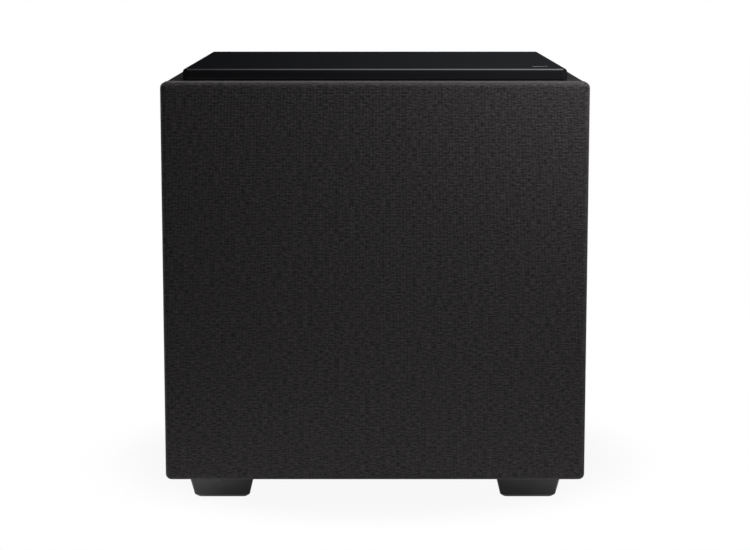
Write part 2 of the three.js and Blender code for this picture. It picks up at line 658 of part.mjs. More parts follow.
// The lead from the board, through the brace's window, to the driver's terminals.
function speakerCable() {
  const route = new THREE.CatmullRomCurve3([
    [40, BOARD.front - GAP, 216], [40, 352, 216], [44, 320, 206], [54, 270, 172], [66, 208, 150],
    [84, 150, 156], [92, 108, 182], [88, 88, middle], [88, 76 + 2 * GAP, middle],
  ].map(([x, depth, z]) => new THREE.Vector3(x, at(depth), z)));
  const section = new THREE.Shape();
  section.absarc(0, 0, CABLE.radius, 0, 2 * Math.PI);
  return new THREE.ExtrudeGeometry(section, {
    extrudePath: route, steps: CABLE.steps, curveSegments: CABLE.sides / 2, bevelEnabled: false,
  });
}

piece("speaker_cable", speakerCable(), FINISH.rubber);

export default group;
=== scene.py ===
"""The looks of an active subwoofer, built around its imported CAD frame.

Lengths are in millimetres until a mesh is made, and depths count back from the grille's front face.
The file runs: camera and stage, tools, finishes, then the pieces from the outside in.
"""

import json
import math

import bmesh
import bpy
from mathutils import Matrix, Vector
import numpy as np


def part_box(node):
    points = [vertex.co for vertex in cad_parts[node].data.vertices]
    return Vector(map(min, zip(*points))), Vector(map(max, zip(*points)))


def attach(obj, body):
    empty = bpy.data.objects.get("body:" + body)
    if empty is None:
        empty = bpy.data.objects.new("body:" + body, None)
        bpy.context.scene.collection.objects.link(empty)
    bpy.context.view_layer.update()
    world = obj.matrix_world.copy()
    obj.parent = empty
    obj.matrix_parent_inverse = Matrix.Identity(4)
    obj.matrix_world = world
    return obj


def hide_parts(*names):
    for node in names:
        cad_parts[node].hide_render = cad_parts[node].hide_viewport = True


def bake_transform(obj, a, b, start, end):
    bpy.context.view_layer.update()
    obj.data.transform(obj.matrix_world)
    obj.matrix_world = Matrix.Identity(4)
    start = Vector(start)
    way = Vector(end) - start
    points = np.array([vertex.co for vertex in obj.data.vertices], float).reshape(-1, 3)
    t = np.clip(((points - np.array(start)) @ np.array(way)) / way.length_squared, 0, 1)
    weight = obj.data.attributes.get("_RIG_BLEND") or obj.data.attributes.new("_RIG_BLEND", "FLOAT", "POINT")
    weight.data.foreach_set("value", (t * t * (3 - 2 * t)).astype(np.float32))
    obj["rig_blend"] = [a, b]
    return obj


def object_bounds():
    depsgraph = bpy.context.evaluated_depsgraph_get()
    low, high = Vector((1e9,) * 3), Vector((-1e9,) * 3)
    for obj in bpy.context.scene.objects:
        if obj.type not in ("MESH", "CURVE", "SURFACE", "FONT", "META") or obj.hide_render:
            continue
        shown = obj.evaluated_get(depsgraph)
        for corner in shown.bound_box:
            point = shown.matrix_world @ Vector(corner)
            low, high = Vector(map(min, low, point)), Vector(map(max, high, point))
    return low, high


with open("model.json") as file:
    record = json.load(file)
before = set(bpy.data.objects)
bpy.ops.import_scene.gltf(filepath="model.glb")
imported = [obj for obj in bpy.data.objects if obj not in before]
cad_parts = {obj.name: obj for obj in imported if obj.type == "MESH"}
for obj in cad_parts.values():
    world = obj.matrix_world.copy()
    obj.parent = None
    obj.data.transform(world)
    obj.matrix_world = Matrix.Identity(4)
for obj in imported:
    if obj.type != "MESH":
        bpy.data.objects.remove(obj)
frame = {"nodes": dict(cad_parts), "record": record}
cad_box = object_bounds()

MM = 0.001
FRONT = cad_box[0].y / MM
BODY_OF = {n: body for body, nodes in frame["record"]["behaviour"]["bodies"].items() for n in nodes}
SLOT_OF = {part["node"]: part["material_slot"] for part in frame["record"]["subparts"]}


# ------------------------------------------------------------------ camera, floor and light

MIDDLE = Vector((0, 0, 0.19))
CAMERA = {"distance": 1764, "height": 469, "down": 8.58, "lens": 101.2}


def linked(name, data):
    """A new object in the scene, with its mesh, light, camera or curve."""
    made = bpy.data.objects.new(name, data)
    bpy.context.scene.collection.objects.link(made)
    return made


def mesh_of(work, name):
    """A bmesh's mesh. The bmesh is spent."""
    mesh = bpy.data.meshes.new(name)
    work.to_mesh(mesh)
    work.free()
    return mesh


def add_camera():
    data = bpy.data.cameras.new("camera")
    data.sensor_width = 36
    data.lens = CAMERA["lens"]
    camera = linked("camera", data)
    camera.location = (0, (FRONT - CAMERA["distance"]) * MM, CAMERA["height"] * MM)
    camera.rotation_euler = (math.radians(90 - CAMERA["down"]), 0, 0)
    bpy.context.scene.camera = camera


def add_softbox(name, place, width, height, watts):
    """A soft light that faces the object, and that gloss doesn't mirror."""
    data = bpy.data.lights.new(name, "AREA")
    data.shape = "RECTANGLE"
    data.size = width
    data.size_y = height
    data.energy = watts
    light = linked(name, data)
    light.location = place
    light.rotation_euler = (MIDDLE - light.location).to_track_quat("-Z", "Y").to_euler()
    light.visible_glossy = False


def graph(tree):
    """A short call that adds a node to a tree, sets it up and links it."""

    def node(kind, inputs=(), **settings):
        made = tree.nodes.new(kind)
        for key, value in settings.items():
            setattr(made, key, value)
        for key, value in dict(inputs).items():
            if isinstance(value, bpy.types.NodeSocket):
                tree.links.new(value, made.inputs[key])
            else:
                made.inputs[key].default_value = value
        return made

    return node


def add_world():
    """A dim cool room, lighter towards the right and in front, for the gloss to reflect."""
    world = bpy.data.worlds.new("studio")
    bpy.context.scene.world = world
    world.use_nodes = True
    world.node_tree.nodes.clear()
    node = graph(world.node_tree)
    way = node("ShaderNodeSeparateXYZ", {0: node("ShaderNodeTexCoord").outputs["Generated"]})
    right = node("ShaderNodeMapRange", {
        "Value": way.outputs["X"], "From Min": -0.14, "From Max": 0.16, "To Min": 0.005, "To Max": 0.029,
    }, interpolation_type="SMOOTHSTEP").outputs["Result"]
    front = node("ShaderNodeMapRange", {
        "Value": way.outputs["Y"], "From Min": 0.3, "From Max": -0.6, "To Min": 1.0, "To Max": 5.5,
    }).outputs["Result"]
    light = node("ShaderNodeMath", {0: right, 1: front}, operation="MULTIPLY").outputs[0]
    background = node("ShaderNodeBackground", {"Color": (0.87, 0.91, 1.0, 1), "Strength": light})
    node("ShaderNodeOutputWorld", {"Surface": background.outputs[0]})


SWEEP_RADIUS = 20
FLOOR = {"radius": 0.6, "fade": (0.15, 0.588), "rim": (0.2, 0.28), "seen": 0.16, "paint": 0.5}


def stage_piece(name, make, **settings):
    """A piece of the stage, with a plain material to build on."""
    work = bmesh.new()
    make(work, **settings)
    piece = linked(name, mesh_of(work, name))
    paint = bpy.data.materials.new(name)
    paint.use_nodes = True
    piece.data.materials.append(paint)
    return piece, paint.node_tree


def hide_from(piece, *rays):
    for ray in rays:
        setattr(piece, f"visible_{ray}", False)


LIGHT_RAYS = ("diffuse", "glossy", "transmission", "volume_scatter", "shadow")


def add_sweep():
    """A white sweep all round that lights nothing."""
    sweep, tree = stage_piece(
        "sweep", bmesh.ops.create_uvsphere, radius=SWEEP_RADIUS, u_segments=32, v_segments=16)
    hide_from(sweep, *LIGHT_RAYS)
    tree.nodes.clear()
    node = graph(tree)
    white = node("ShaderNodeEmission", {"Color": (1, 1, 1, 1), "Strength": 1.0})
    node("ShaderNodeOutputMaterial", {"Surface": white.outputs[0]})


SCRIM = {"height": 1.8, "size": 0.7, "left": 0.35, "right": 3.0, "reach": 0.3}


def add_scrim():
    """A bright cloth overhead, brighter towards the right, that only gloss mirrors."""
    scrim, tree = stage_piece("scrim", bmesh.ops.create_grid, size=SCRIM["size"])
    scrim.location.z = SCRIM["height"]
    hide_from(scrim, "camera", "diffuse", "transmission", "volume_scatter", "shadow")
    tree.nodes.clear()
    node = graph(tree)
    way = node("ShaderNodeSeparateXYZ", {0: node("ShaderNodeTexCoord").outputs["Object"]})
    glow = node("ShaderNodeMapRange", {
        "Value": way.outputs["X"], "From Min": -SCRIM["reach"], "From Max": SCRIM["reach"],
        "To Min": SCRIM["left"], "To Max": SCRIM["right"],
    })
    white = node("ShaderNodeEmission", {"Strength": glow.outputs["Result"]})
    node("ShaderNodeOutputMaterial", {"Surface": white.outputs[0]})


def add_floor(name, strength, glow):
    """A pale disc that fades out all round. Its glow differs between under the object and around it, and a
    lower glow under the object is painted shadow.
    """
    floor, tree = stage_piece(
        name, bmesh.ops.create_circle, radius=FLOOR["radius"], cap_ends=True, segments=64)
    shader = tree.nodes["Principled BSDF"]
    shader.inputs["Base Color"].default_value = (*[FLOOR["paint"]] * 3, 1)
    shader.inputs["Roughness"].default_value = 0.9
    shader.inputs["Emission Color"].default_value = (1, 1, 1, 1)
    node = graph(tree)
    place = node("ShaderNodeTexCoord").outputs["Object"]
    far = node("ShaderNodeVectorMath", {0: place}, operation="LENGTH").outputs["Value"]
    ramps = (("Alpha", FLOOR["fade"], (strength, 0)), ("Emission Strength", FLOOR["rim"], glow))
    for socket, (start, end), (inside, outside) in ramps:
        ramp = node("ShaderNodeMapRange", {
            "Value": far, "From Min": start, "From Max": end, "To Min": inside, "To Max": outside,
        }, interpolation_type="SMOOTHSTEP")
        tree.links.new(ramp.outputs["Result"], shader.inputs[socket])
    return floor


def add_floors():
    """One disc is seen, and takes a faint shadow. The other isn't, and throws light back up from its own
    glow, which is lower under the object as painted shadow.
    """
    hide_from(add_floor("floor", FLOOR["seen"], (0.42, 0.42)), *LIGHT_RAYS)
    # Its glow rises from 0.25 under the object to 1.05 around it: painted shadow under the object.
    hide_from(add_floor("floor_bounce", 1.0, (0.25, 1.05)), "camera")


SOFTBOXES = (  # name, place, width, height, watts
    ("overhead", (0.5, 0.1, 1.9), 1.0, 1.0, 6),
    ("key_right", (0.8, -0.75, 1.6), 0.6, 0.6, 10),
    ("near_right", (0.34, -0.34, 0.62), 0.2, 0.2, 3.6),
    ("edge_left", (-1.1, 0.1, 0.5), 0.6, 0.8, 16),
    ("fill_left", (-1.6, -1.0, 2.0), 1.0, 1.0, 3),
    ("back_left", (-1.2, 1.5, 2.1), 1.0, 1.0, 24),
    ("back_right", (1.3, 1.4, 2.1), 0.9, 0.9, 18),
)

add_camera()
add_world()
add_sweep()
add_scrim()
add_floors()
bpy.context.scene.view_settings.view_transform = "Standard"
for softbox in SOFTBOXES:
    add_softbox(*softbox)


# ------------------------------------------------------------------ mesh tools


def at(depth):
    return FRONT + depth


def centre_of(node):
    """The middle of a node's box, in millimetres."""
    low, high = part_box(node)
    return (low + high) / 2 / MM


def span_of(node):
    """A node's box, as two corners in millimetres."""
    low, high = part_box(node)
    return low / MM, high / MM


def shade(piece, angle=32):
    mesh = piece.data
    mesh.polygons.foreach_set("use_smooth", [True] * len(mesh.polygons))
    mesh.set_sharp_from_angle(angle=math.radians(angle))
    return piece


def object_from(mesh_work, name, angle=32):
    """A bmesh in millimetres, as an object in metres with its faces turned outwards."""
    bmesh.ops.remove_doubles(mesh_work, verts=mesh_work.verts, dist=1e-4)
    bmesh.ops.recalc_face_normals(mesh_work, faces=mesh_work.faces)
    bmesh.ops.scale(mesh_work, vec=(MM, MM, MM), verts=mesh_work.verts)
    return shade(linked(name, mesh_of(mesh_work, name)), angle)


def quarter(steps):
    """The angles of a quarter turn, from 0 to a right angle."""
    return [math.pi / 2 * i / steps for i in range(steps + 1)]


def skin(work, rings):
    """Joins each ring of points to the next with a band of faces."""
    count = len(rings[0])
    for lower, upper in zip(rings, rings[1:]):
        for i in range(count):
            j = (i + 1) % count
            work.faces.new((lower[i], lower[j], upper[j], upper[i]))


def loft(name, rings, angle=32):
    """Skins a list of rings, each with the same number of points, and closes both ends."""
    work = bmesh.new()
    made = [[work.verts.new(point) for point in ring] for ring in rings]
    skin(work, made)
    work.faces.new(made[0][::-1])
    work.faces.new(made[-1])
    return object_from(work, name, angle)


def turned(name, profile, place, sides=96, angle=32):
    """A solid of revolution about a line along Y, through a point or a node's middle.
    The profile is a closed loop of (radius, depth), or starts and ends on the axis."""
    centre = centre_of(place) if isinstance(place, str) else Vector(place)
    work = bmesh.new()
    rings = []
    for radius, depth in profile:
        turns = [2 * math.pi * i / sides for i in range(sides)] if radius > 0 else [0]
        rings.append([
            work.verts.new((centre.x + radius * math.sin(t), at(depth), centre.z + radius * math.cos(t)))
            for t in turns
        ])
    pairs = list(zip(rings, rings[1:]))
    if profile[0][0] > 0 or profile[-1][0] > 0:
        pairs.append((rings[-1], rings[0]))
    for a, b in pairs:
        for i in range(sides):
            j = (i + 1) % sides
            corners = [a[i % len(a)], a[j % len(a)], b[j % len(b)], b[i % len(b)]]
            unique = list(dict.fromkeys(corners))
            if len(unique) > 2:
                work.faces.new(unique)
    return object_from(work, name, angle)


def ring_profile(inner, outer, front, back, edge=0.6):
    """A ring's section with its four corners cut off."""
    return [
        (inner + edge, front), (outer - edge, front), (outer, front + edge), (outer, back - edge),
        (outer - edge, back), (inner + edge, back), (inner, back - edge), (inner, front + edge),
    ]


def rod_profile(radius, front, back, edge=0.4):
    return [(0, front), (radius - edge, front), (radius, front + edge), (radius, back - edge),
            (radius - edge, back), (0, back)]


def rounded_rectangle(half_width, half_height, radius, steps=6):
    """Points round a rectangle with round corners, counter-clockwise."""
    radius = max(radius, 0.01)
    points = []
    for quarter, (sx, sy) in enumerate(((1, 1), (-1, 1), (-1, -1), (1, -1))):
        for step in range(steps + 1):
            turn = (quarter + step / steps) * math.pi / 2
            points.append((
                sx * (half_width - radius) + radius * math.cos(turn),
                sy * (half_height - radius) + radius * math.sin(turn),
            ))
    return points


PLACE = {
    "x": lambda u, v, along: (along, u, v),
    "y": lambda u, v, along: (u, along, v),
    "z": lambda u, v, along: (u, v, along),
}
ORDER = {"x": (1, 2, 0), "y": (0, 2, 1), "z": (0, 1, 2)}


def rounded_box(name, low, high, edges=(1, 0.5, 0.5), axis="y", steps=4):
    """A box along an axis. Its edges are the radii of its corners and of its near and far ends."""
    corner, near, far = edges
    (u0, v0, w0), (u1, v1, w1) = ([limit[i] for i in ORDER[axis]] for limit in (low, high))
    turns = quarter(steps)
    near_end = [(near * (1 - math.sin(t)), w0 + near * (1 - math.cos(t))) for t in turns]
    far_end = [(far * (1 - math.sin(t)), w1 - far * (1 - math.cos(t))) for t in turns[::-1]]
    rings = []
    for inset, along in near_end + far_end:
        outline = rounded_rectangle((u1 - u0) / 2 - inset, (v1 - v0) / 2 - inset, corner - inset)
        rings.append([PLACE[axis]((u0 + u1) / 2 + u, (v0 + v1) / 2 + v, along) for u, v in outline])
    return loft(name, rings)


def slab(name, place, size, depths, edges):
    """A rounded box from its middle (x, z), its width and height, and the depths of its two ends."""
    (x, z), (width, height) = place, size
    low, high = (
        (x + side * width, at(depth), z + side * height) for side, depth in zip((-0.5, 0.5), depths)
    )
    return rounded_box(name, low, high, edges)


def hole(node, radius, depths, sides=48):
    """A round cutter about a node's middle."""
    return turned("hole", rod_profile(radius, *depths, 0.01), node, sides)


def final_mesh(piece):
    """The mesh that a piece has once its modifiers, or its curve's settings, have done their work."""
    bpy.context.view_layer.update()
    return bpy.data.meshes.new_from_object(piece.evaluated_get(bpy.context.evaluated_depsgraph_get()))


def carve(piece, *cutters, angle=32):
    """Cuts solids out of a piece and removes them."""
    for cutter in cutters:
        step = piece.modifiers.new("carve", "BOOLEAN")
        step.object = cutter
        step.operation = "DIFFERENCE"
        step.solver = "EXACT"
    mesh = final_mesh(piece)
    piece.modifiers.clear()
    piece.data = mesh
    for cutter in cutters:
        bpy.data.objects.remove(cutter)
    return shade(piece, angle)


def soften(piece, width):
    """Rounds a piece's sharp edges. Flat faces are joined first, so that slivers don't limit it."""
    flat = piece.modifiers.new("flat", "DECIMATE")
    flat.decimate_type = "DISSOLVE"
    flat.angle_limit = math.radians(0.5)
    edges = piece.modifiers.new("edges", "BEVEL")
    edges.width = width * MM
    edges.segments = 2
    edges.limit_method = "ANGLE"
    edges.angle_limit = math.radians(32)
    edges.harden_normals = True
    return piece


def merged(name, pieces):
    """Several small solids as one piece."""
    work = bmesh.new()
    for piece in pieces:
        work.from_mesh(piece.data)
        bpy.data.objects.remove(piece)
    return shade(linked(name, mesh_of(work, name)))


def tube(name, points, radius, sides=12):
    """A round tube along a smooth curve through points in millimetres."""
    data = bpy.data.curves.new(name, "CURVE")
    data.dimensions = "3D"
    data.bevel_depth = radius * MM
    data.bevel_resolution = max(1, sides // 4 - 1)
    data.resolution_u = 8
    data.use_fill_caps = True
    spline = data.splines.new("NURBS")
    spline.points.add(len(points) - 1)
    for spot, point in zip(spline.points, points):
        spot.co = (*[value * MM for value in point], 1)
    spline.use_endpoint_u = True
    spline.order_u = 4
    curve = linked(name + "_line", data)
    work = bmesh.new()
    work.from_mesh(final_mesh(curve))
    bpy.data.objects.remove(curve)
    bmesh.ops.remove_doubles(work, verts=work.verts, dist=1e-6)
    return shade(linked(name, mesh_of(work, name)))


# ------------------------------------------------------------------ finishes


class Finish:
    """A material, with short calls for the nodes that give it its grain. Grains and depths are in
    millimetres."""

    def __init__(self, name, colour, roughness, **sockets):
        self.material = bpy.data.materials.new(name)
        self.material.use_nodes = True
        self.tree = self.material.node_tree
        self.node = graph(self.tree)
        self.shader = self.tree.nodes["Principled BSDF"]
        self.colour = colour
        self.shader.inputs["Base Color"].default_value = (*colour, 1)
        self.shader.inputs["Roughness"].default_value = roughness
        for socket, value in sockets.items():
            self.shader.inputs[socket.replace("_", " ")].default_value = value
        self.place = self.node("ShaderNodeTexCoord").outputs["Object"]

    def math(self, operation, a, b=0.0, c=0.0):
        return self.node("ShaderNodeMath", {0: a, 1: b, 2: c}, operation=operation).outputs[0]

    def stretched(self, stretch):
        """The place, with one way or another stretched out."""
        return self.node("ShaderNodeMapping", {"Vector": self.place, "Scale": stretch}).outputs[0]

    def noise(self, grain, detail=3.0, stretch=(1, 1, 1), roughness=0.55, distortion=0.0):
        """Noise whose grain is that many millimetres across."""
        made = self.node("ShaderNodeTexNoise", {
            "Vector": self.stretched(stretch), "Scale": 1 / (grain * MM), "Detail": detail,
            "Roughness": roughness, "Distortion": distortion,
        })
        return made.outputs["Fac"]

    def pebbles(self, grain):
        made = self.node("ShaderNodeTexVoronoi", {
            "Vector": self.place, "Scale": 1 / (grain * MM),
        }, feature="SMOOTH_F1")
        return made.outputs["Distance"]

    def axis(self, name):
        return self.node("ShaderNodeSeparateXYZ", {0: self.place}).outputs[name]

    def wave(self, value, pitch):
        """A sine that repeats after that many millimetres."""
        return self.math("SINE", self.math("MULTIPLY", value, 2 * math.pi / (pitch * MM)))

    def spread(self, value, low, high, start=0.3, end=0.7):
        """A value between start and end, moved to between low and high."""
        made = self.node("ShaderNodeMapRange", {
            "Value": value, "From Min": start, "From Max": end, "To Min": low, "To Max": high,
        })
        return made.outputs["Result"]

    def tint(self, factor, dark, light):
        """Varies the base colour between dark and light times itself."""
        blend = self.node("ShaderNodeMix", {
            "Factor": factor,
            "A": (*[c * dark for c in self.colour], 1),
            "B": (*[min(1, c * light) for c in self.colour], 1),
        }, data_type="RGBA")
        self.tree.links.new(blend.outputs["Result"], self.shader.inputs["Base Color"])
        return self

    def rough(self, factor, low, high):
        self.tree.links.new(self.spread(factor, low, high), self.shader.inputs["Roughness"])
        return self

    def bump(self, height, depth):
        """Raises the surface by height times depth, in millimetres."""
        before = self.shader.inputs["Normal"]
        inputs = {"Height": height, "Distance": depth * MM}
        if before.is_linked:
            inputs["Normal"] = before.links[0].from_socket
        made = self.node("ShaderNodeBump", inputs)
        self.tree.links.new(made.outputs["Normal"], before)
        return self


def moulded(name, colour, roughness, grain=0.5, depth=0.03, **sockets):
    """Moulded plastic or rubber: a fine even texture, slightly uneven gloss and faint handling marks."""
    made = Finish(name, colour, roughness, **sockets)
    fine = made.noise(grain, detail=2)
    broad = made.noise(38, detail=4)
    made.tint(made.spread(broad, 0, 1), 0.85, 1.2)
    made.rough(broad, roughness - 0.06, roughness + 0.08)
    return made.bump(fine, depth)


def plated(name, colour, roughness, brush=(1, 1, 1)):
    """Bare or plated metal with a brushed or blotchy surface."""
    made = Finish(name, colour, roughness, Metallic=1.0)
    streaks = made.noise(0.7, detail=4, stretch=brush)
    blotches = made.noise(22, detail=5)
    made.tint(made.spread(blotches, 0, 1), 0.8, 1.08)
    made.rough(streaks, roughness - 0.08, roughness + 0.14)
    return made.bump(streaks, 0.012)


CLOTH_THREAD = 1.2  # from one thread to the next, in millimetres


def woven_cloth():
    """Plain-woven speaker cloth. Warp and weft pass over and under each other, a little unevenly. Its colour
    mixes the yarn's own uneven tone with painted shade: darker where the yarn dips under a crossing thread,
    lighter where it rises.
    """
    made = Finish("speaker_cloth", (0.0215, 0.0198, 0.0203), 0.92, Specular_IOR_Level=0.15,
                  Sheen_Weight=0.08, Sheen_Roughness=0.3)
    flat = made.node("ShaderNodeUVMap", uv_map="cloth").outputs["UV"]
    made.place = flat
    wander = made.node("ShaderNodeTexNoise", {
        "Vector": flat, "Scale": 1 / (6 * MM), "Detail": 3.0, "Roughness": 0.6,
    }).outputs["Color"]
    moved = made.node("ShaderNodeVectorMath", {
        0: wander, 1: (0.5, 0.5, 0.5),
    }, operation="SUBTRACT").outputs[0]
    moved = made.node("ShaderNodeVectorMath", {
        0: moved, 1: (1.1 * MM,) * 3, 2: flat,
    }, operation="MULTIPLY_ADD").outputs[0]
    axes = made.node("ShaderNodeSeparateXYZ", {0: moved})
    waves = [made.wave(axes.outputs[i], 2 * CLOTH_THREAD) for i in (0, 1)]
    heights = []
    for across, along, way in ((waves[0], waves[1], 0.5), (waves[1], waves[0], -0.5)):
        body = made.math("POWER", made.math("ABSOLUTE", across), 0.6)
        rise = made.math("MULTIPLY", made.math("SIGN", across), along)
        heights.append(made.math("MULTIPLY", body, made.math("MULTIPLY_ADD", rise, way, 0.5)))
    height = made.math("SMOOTH_MAX", heights[0], heights[1], 0.1)
    slubs_up = made.noise(1.0, detail=1, stretch=(1, 0.3, 1))
    slubs_across = made.noise(1.05, detail=1, stretch=(0.24, 1, 1))
    slubs = made.math("MULTIPLY_ADD", slubs_up, 0.25, made.math("MULTIPLY", slubs_across, 0.75))
    mottled = made.noise(7, detail=4)
    # Painted shade: the yarn's colour is darker where the weave is low and lighter where it is high.
    painted_weave_shade = made.spread(height, 0.25, 1.0, 0.15, 0.85)
    # The yarn's own uneven tone from its slubs, times the painted shade of the weave.
    yarn_tone_and_shade = made.math("MULTIPLY", painted_weave_shade, made.spread(slubs, 0.4, 1.6, 0.36, 0.64))
    made.tint(made.math("MULTIPLY", yarn_tone_and_shade, made.spread(mottled, 0.46, 0.54)), 0.25, 3.2)
    made.bump(slubs, 0.2)
    return made.bump(height, 0.3)


def vinyl():
    """Satin vinyl wrap with a fine leathery emboss."""
    made = Finish("vinyl_wrap", (0.012, 0.012, 0.0125), 0.42, Specular_IOR_Level=0.22)
    broad = made.noise(60, detail=3)
    made.tint(made.spread(broad, 0, 1), 0.9, 1.12)
    made.rough(broad, 0.4, 0.46)
    return made.bump(made.pebbles(0.9), 0.05)


def lacquer():
    """Deep black piano lacquer: almost a mirror, with the faintest orange peel and wipe marks."""
    made = Finish("piano_lacquer", (0.0035, 0.0035, 0.004), 0.05, Specular_IOR_Level=0.5,
                  Coat_Weight=0.4, Coat_Roughness=0.03)
    wipes = made.noise(3.0, detail=5, stretch=(0.15, 1, 1))
    made.rough(wipes, 0.035, 0.075)
    made.tint(made.spread(made.noise(90), 0, 1), 0.85, 1.2)
    return made.bump(made.noise(14, detail=1), 0.0012)


def fibrous(name, colour, roughness, tints, depth, noise, gloss=None, **sockets):
    """Matted fibres or grains with painted shade: their colour is lighter where they stand up and darker in
    the hollows between them.
    """
    made = Finish(name, colour, roughness, **sockets)
    fibres = made.noise(**noise)
    # Painted shade: the same noise that raises the fibres in the bump makes them lighter where they are
    # high.
    made.tint(made.spread(fibres, 0, 1), *tints)
    if gloss:
        made.rough(fibres, *gloss)
    return made.bump(fibres, depth)


def varnished_cotton():
    """The spider's cloth: a coarse weave stiffened with resin, with painted shade that is darker where the
    weave dips and lighter where it rises.
    """
    made = Finish("varnished_cotton", (0.36, 0.20, 0.065), 0.62)
    threads = [made.wave(made.axis(name), 0.8) for name in "XZ"]
    weave = made.math("MULTIPLY_ADD", made.math("MULTIPLY", *threads), 0.5, 0.5)
    # Painted shade: the weave's colour follows its own height in the bump.
    made.tint(weave, 0.6, 1.25)
    return made.bump(weave, 0.12)


def wound_copper():
    """Enamelled wire, wound side by side along the former, with painted shade that darkens the grooves
    between the turns.
    """
    made = Finish("enamelled_copper", (0.62, 0.25, 0.10), 0.28, Metallic=1.0)
    turns = made.math("MULTIPLY_ADD", made.wave(made.axis("Y"), 0.42), 0.5, 0.5)
    # Painted shade: darker in the grooves between turns, lighter on their crowns, following the bump's
    # height.
    made.tint(turns, 0.45, 1.1)
    return made.bump(turns, 0.12)


def powder_coat(name, colour, roughness=0.45):
    """Black powder coat, with its small round lumps."""
    made = Finish(name, colour, roughness, Specular_IOR_Level=0.5)
    lumps = made.noise(0.8, detail=1)
    made.tint(made.spread(made.noise(45), 0, 1), 0.85, 1.2)
    made.rough(made.noise(12), roughness - 0.07, roughness + 0.08)
    return made.bump(lumps, 0.07)


def circuit_green():
    """Solder mask over copper tracks that run across and up the board."""
    made = Finish("solder_mask", (0.012, 0.085, 0.032), 0.35)
    facing = made.node("ShaderNodeMapping", {"Vector": made.place, "Rotation": (math.pi / 2, 0, 0)})
    tracks = made.node("ShaderNodeTexBrick", {
        "Vector": facing.outputs[0], "Scale": 1 / (10 * MM), "Brick Width": 1.3, "Row Height": 0.28,
        "Mortar Size": 0.035, "Mortar Smooth": 0.3,
    }, offset=0.37, squash=1.6, squash_frequency=3).outputs["Fac"]
    made.tint(tracks, 0.75, 1.8)
    return made.bump(tracks, 0.05)


TAPE_LAPS = 28


def winding_tape():
    """Yellow tape wound round a toroid, overlap over overlap."""
    made = Finish("winding_tape", (0.55, 0.36, 0.03), 0.38)
    centre = centre_of("transformer") * MM
    across = made.math("SUBTRACT", made.axis("X"), centre.x)
    up = made.math("SUBTRACT", made.axis("Z"), centre.z)
    laps = made.math("MULTIPLY", made.math("ARCTAN2", up, across), TAPE_LAPS / (2 * math.pi))
    lap = made.math("FRACT", laps)
    made.tint(lap, 0.7, 1.15)
    return made.bump(lap, 0.3)


def lens():
    made = Finish("green_lens", (0.05, 0.5, 0.12), 0.15, Transmission_Weight=0.3)
    made.tint(made.spread(made.noise(0.8), 0, 1), 0.85, 1.1)
    made.shader.inputs["Emission Color"].default_value = (0.1, 1.0, 0.25, 1)
    made.shader.inputs["Emission Strength"].default_value = 0.6
    return made


FINISHES = {
    "cloth": woven_cloth(),
    "vinyl": vinyl(),
    "gloss": lacquer(),
    "satin_black": moulded("satin_black", (0.022, 0.022, 0.0225), 0.24, grain=0.6, depth=0.008),
    "board": fibrous(
        "fibreboard", (0.36, 0.24, 0.135), 0.88, (0.72, 1.25), 0.12,
        {"grain": 0.8, "detail": 6, "roughness": 0.65}),
    "fibre": fibrous(
        "polyester_fibre", (0.72, 0.70, 0.65), 0.97, (0.7, 1.2), 1.2,
        {"grain": 2.2, "detail": 9, "roughness": 0.75, "distortion": 3.0}, Sheen_Weight=0.4),
    "rubber": moulded("rubber", (0.017, 0.017, 0.0175), 0.62, grain=0.9, depth=0.02),
    "paper": fibrous(
        "paper_pulp", (0.020, 0.020, 0.021), 0.82, (0.55, 1.7), 0.22,
        {"grain": 1.1, "detail": 8, "roughness": 0.7, "distortion": 1.5}, Specular_IOR_Level=0.3),
    "spider": varnished_cotton(),
    "former": moulded("polyimide", (0.40, 0.15, 0.03), 0.3, depth=0.01),
    "copper": wound_copper(),
    "ferrite": fibrous(
        "ferrite", (0.045, 0.045, 0.05), 0.5, (0.7, 1.5), 0.06,
        {"grain": 1.6, "detail": 6}, gloss=(0.35, 0.6), Specular_IOR_Level=0.6),
    "steel": plated("zinc_plate", (0.62, 0.62, 0.64), 0.32),
    "basket": powder_coat("basket_coat", (0.016, 0.016, 0.017)),
    "amp_metal": powder_coat("plate_coat", (0.014, 0.014, 0.015), 0.42),
    "nylon": moulded("black_nylon", (0.014, 0.014, 0.0145), 0.45, grain=0.5, depth=0.03),
    "circuit": circuit_green(),
    "tape": winding_tape(),
    "sleeve": moulded("shrink_sleeve", (0.015, 0.035, 0.12), 0.25, grain=4, depth=0.02),
    "gold": plated("gold_plate", (0.78, 0.56, 0.22), 0.22),
    "lens": lens(),
}
WHITE_INK = moulded("white_ink", (0.62, 0.62, 0.60), 0.55, grain=0.4, depth=0.01)
RED_INSERT = moulded("red_insert", (0.42, 0.02, 0.015), 0.4)
WHITE_INSERT = moulded("white_insert", (0.68, 0.67, 0.64), 0.4)
MATT_METAL = plated("matt_metal", (0.7, 0.7, 0.7), 0.6)
NICKEL = plated("nickel_plate", (0.66, 0.64, 0.60), 0.25, brush=(1, 0.1, 1))
BLACK_SCREW = plated("blackened_steel", (0.06, 0.06, 0.065), 0.38)


def dress(piece, finish):
    """Gives a piece its finish, and keeps its flat faces flat in the light, up to their round edges."""
    piece.data.materials.clear()
    piece.data.materials.append(finish.material)
    piece.modifiers.new("normals", "WEIGHTED_NORMAL").keep_sharp = True


def detail(node, piece, finish=None):
    """The piece stands for a CAD node, rides with it and wears its finish."""
    dress(piece, finish or FINISHES[SLOT_OF[node]])
    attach(piece, BODY_OF[node])
    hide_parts(node)


def trim(node, piece, slot=None, finish=None):
    """A small extra piece that goes with a CAD node, in a slot's finish or one of its own."""
    dress(piece, finish or FINISHES[slot])
    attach(piece, BODY_OF[node])


